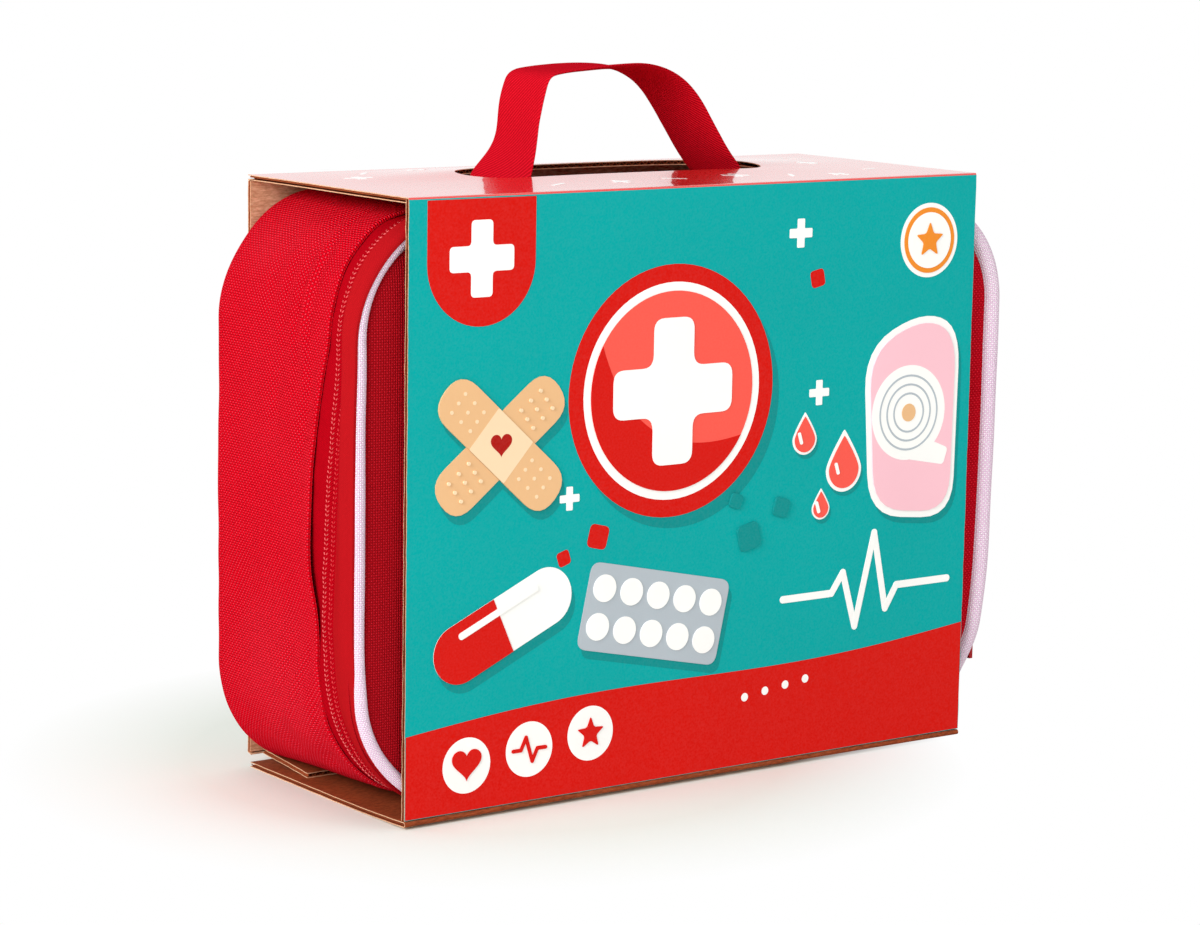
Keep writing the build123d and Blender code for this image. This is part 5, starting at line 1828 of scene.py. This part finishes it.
def instrument_marks():
    """Scales and signs on the instruments: a row of ticks with a longer one every fifth or third."""
    node = frame["nodes"].__getitem__
    steps = enumerate(range(-46, 28, 6))
    ticks = [bar_between((x, 19.5), (x, 28.5 if n % 3 == 0 else 25), 0.8) for n, x in steps]
    marks("syringe_scale", node("syringe_barrel"), ticks, "ink")

    x, z = 81, 68
    sign = [filled(circle(x, z, 11.5), circle(x, z, 10)), filled(heart(6.4, x, z))]
    rows = (9, z - 20), (6, z - 24.5)
    lines = [bar_between((x - half, up), (x + half, up), 1.4) for half, up in rows]
    marks("ointment_sign", node("ointment_tube"), sign + lines, "ink")

    x, z = 10, 46.6
    block = node("gauge_block")
    marks("gauge_dial", block, [filled(circle(x, z, 11))], "white_ink")
    turns = np.radians(np.arange(-30, 211, 20))
    ends = [[(x + r * cos(turn), z + r * sin(turn)) for r in (7.6, 9.8)] for turn in turns]
    scale = [bar_between(*pair, 0.6) for pair in ends]
    marks("gauge_scale", block, scale, "dark_ink", lift=0.1)
    hand = [bar_between((x - 2.4, z - 2.0), (x + 6.2, z + 5.2), 1.0)]
    marks("gauge_hand", block, hand, "ink", lift=0.13)
    marks("gauge_hub", block, [filled(disc(x, z, 1.5, 24))], "dark_ink", lift=0.2)

    steps = enumerate(np.arange(36, 122, 4))
    ticks = [bar_between((-93.6, z), (-89.4 if n % 5 == 0 else -91.2, z), 0.6) for n, z in steps]
    marks("thermometer_scale", node("thermometer_stick"), ticks, "dark_ink")
    marks("thermometer_sign", node("thermometer_stick"), [filled(heart(4.0, -83, 135))], "ink")

    x, z = -56.14, 145.7
    ring = filled(disc(x, z, 14.4, 64), disc(x, z, 13.4, 64))
    marks("chest_piece_ring", node("chest_piece"), [ring], "white_ink")


def note_pad():
    """Sixteen sheets of paper, each shifted a little, bound along their top. The uppermost ones curl off the
    stack at one lower corner, by the square of how far it is past a slanting line."""
    low, high = corners("note_pad_sheets")
    draw = np.random.default_rng(31)
    a, b = np.meshgrid(np.linspace(0.4, 73.6, 16), np.linspace(0.4, 104.6, 20), indexing="ij")
    layers = []
    for n, (shift_x, shift_z) in enumerate(draw.uniform(-0.25, 0.25, (16, 2))):
        curl = np.clip((a - b * 0.9 - 38) / 30, 0, None) ** 2 * 4.6 * 0.62**n
        x, z = low[0] + a + shift_x, low[2] + b + shift_z * (1 - b / 105)
        y = low[1] + 0.1 + 0.195 * n - curl
        layers.append((grid(x, y, z), grid(x, y + 0.15, z), False))
    pad = skins("note_pad_paper", layers, "paper", "case", stands_for=["note_pad_sheets"], slot="pad_paper")
    left, top = low[0], high[2]
    downs = range(30, 96, 8)
    rules = [bar_between((left + 8, top - z), (left + (66 if z < 80 else 34), top - z), 0.5) for z in downs]
    marks("note_pad_rules", pad, rules, "dark_ink", lift=0.04)
    z = top - 14
    head = [filled(heart(5, left + 13, z)), bar_between((left + 23, z), (left + 58, z), 2.2)]
    marks("note_pad_head", pad, head, "ink", lift=0.04)


def cuff():
    """Felt band closed into a loop and pressed flat: two straight runs joined by half circles. It thins at
    its two edges, its outer face is slightly wavy, and a heart is printed in the middle."""
    low, high = corners("bandage_cuff")
    middle_x, middle_y = (low[0] + high[0]) / 2, (low[1] + high[1]) / 2
    radius, half, thickness = 1.5, (high[0] - low[0]) / 2 - 2.3, 1.6
    turn = np.linspace(0, pi, 13)
    run = np.linspace(-half, half, 40)
    flat = np.zeros(38)
    centre_x = np.concatenate([run[1:-1], np.full(13, half), run[::-1][1:-1], np.full(13, -half)])
    normal_x = np.concatenate([flat, np.sin(turn), flat, -np.sin(turn)])
    normal_y = np.concatenate([flat - 1, -np.cos(turn), flat + 1, np.cos(turn)])
    z = np.linspace(low[2], high[2], 24)
    ends = np.minimum(z - low[2], high[2] - z)
    thick = thickness - 0.5 * np.exp(-ends / 0.6)
    step = np.hypot(np.gradient(centre_x + radius * normal_x), np.gradient(radius * normal_y))
    path = np.cumsum(step)[:, None]
    centre_x, normal_x, normal_y = (column[:, None] for column in (centre_x, normal_x, normal_y))
    outer = radius + thick / 2 + 0.07 * ripples(path, z, 12, 41)
    faces = [
        grid(middle_x + centre_x + normal_x * out, middle_y + normal_y * out, z)
        for out in (outer, radius - thick / 2)
    ]
    uv = grid(path, z)
    made = slab(
        "cuff_felt", *faces, np.concatenate([uv, uv[:1]]), "felt", "case", ring=True,
        stands_for=["bandage_cuff"], slot="white_felt",
    )
    marks("cuff_sign", made, [filled(heart(9, middle_x, (low[2] + high[2]) / 2))], "ink")


def lid_emblem():
    """Sewn-on mark on the lid, above its middle: a white plus sign within a white ring."""
    face_cloth = bpy.data.objects["lid_cloth"]
    x, z = 0, middle_z + 32
    ring = filled(disc(x, z, 25, 96), disc(x, z, 22.2, 96))
    marks("lid_emblem", face_cloth, [ring, filled(plus_outline(x, z, 14, 4.8, 8))], "white_ink", "lid", 0.25)


instrument_marks()
note_pad()
cuff()
lid_emblem()
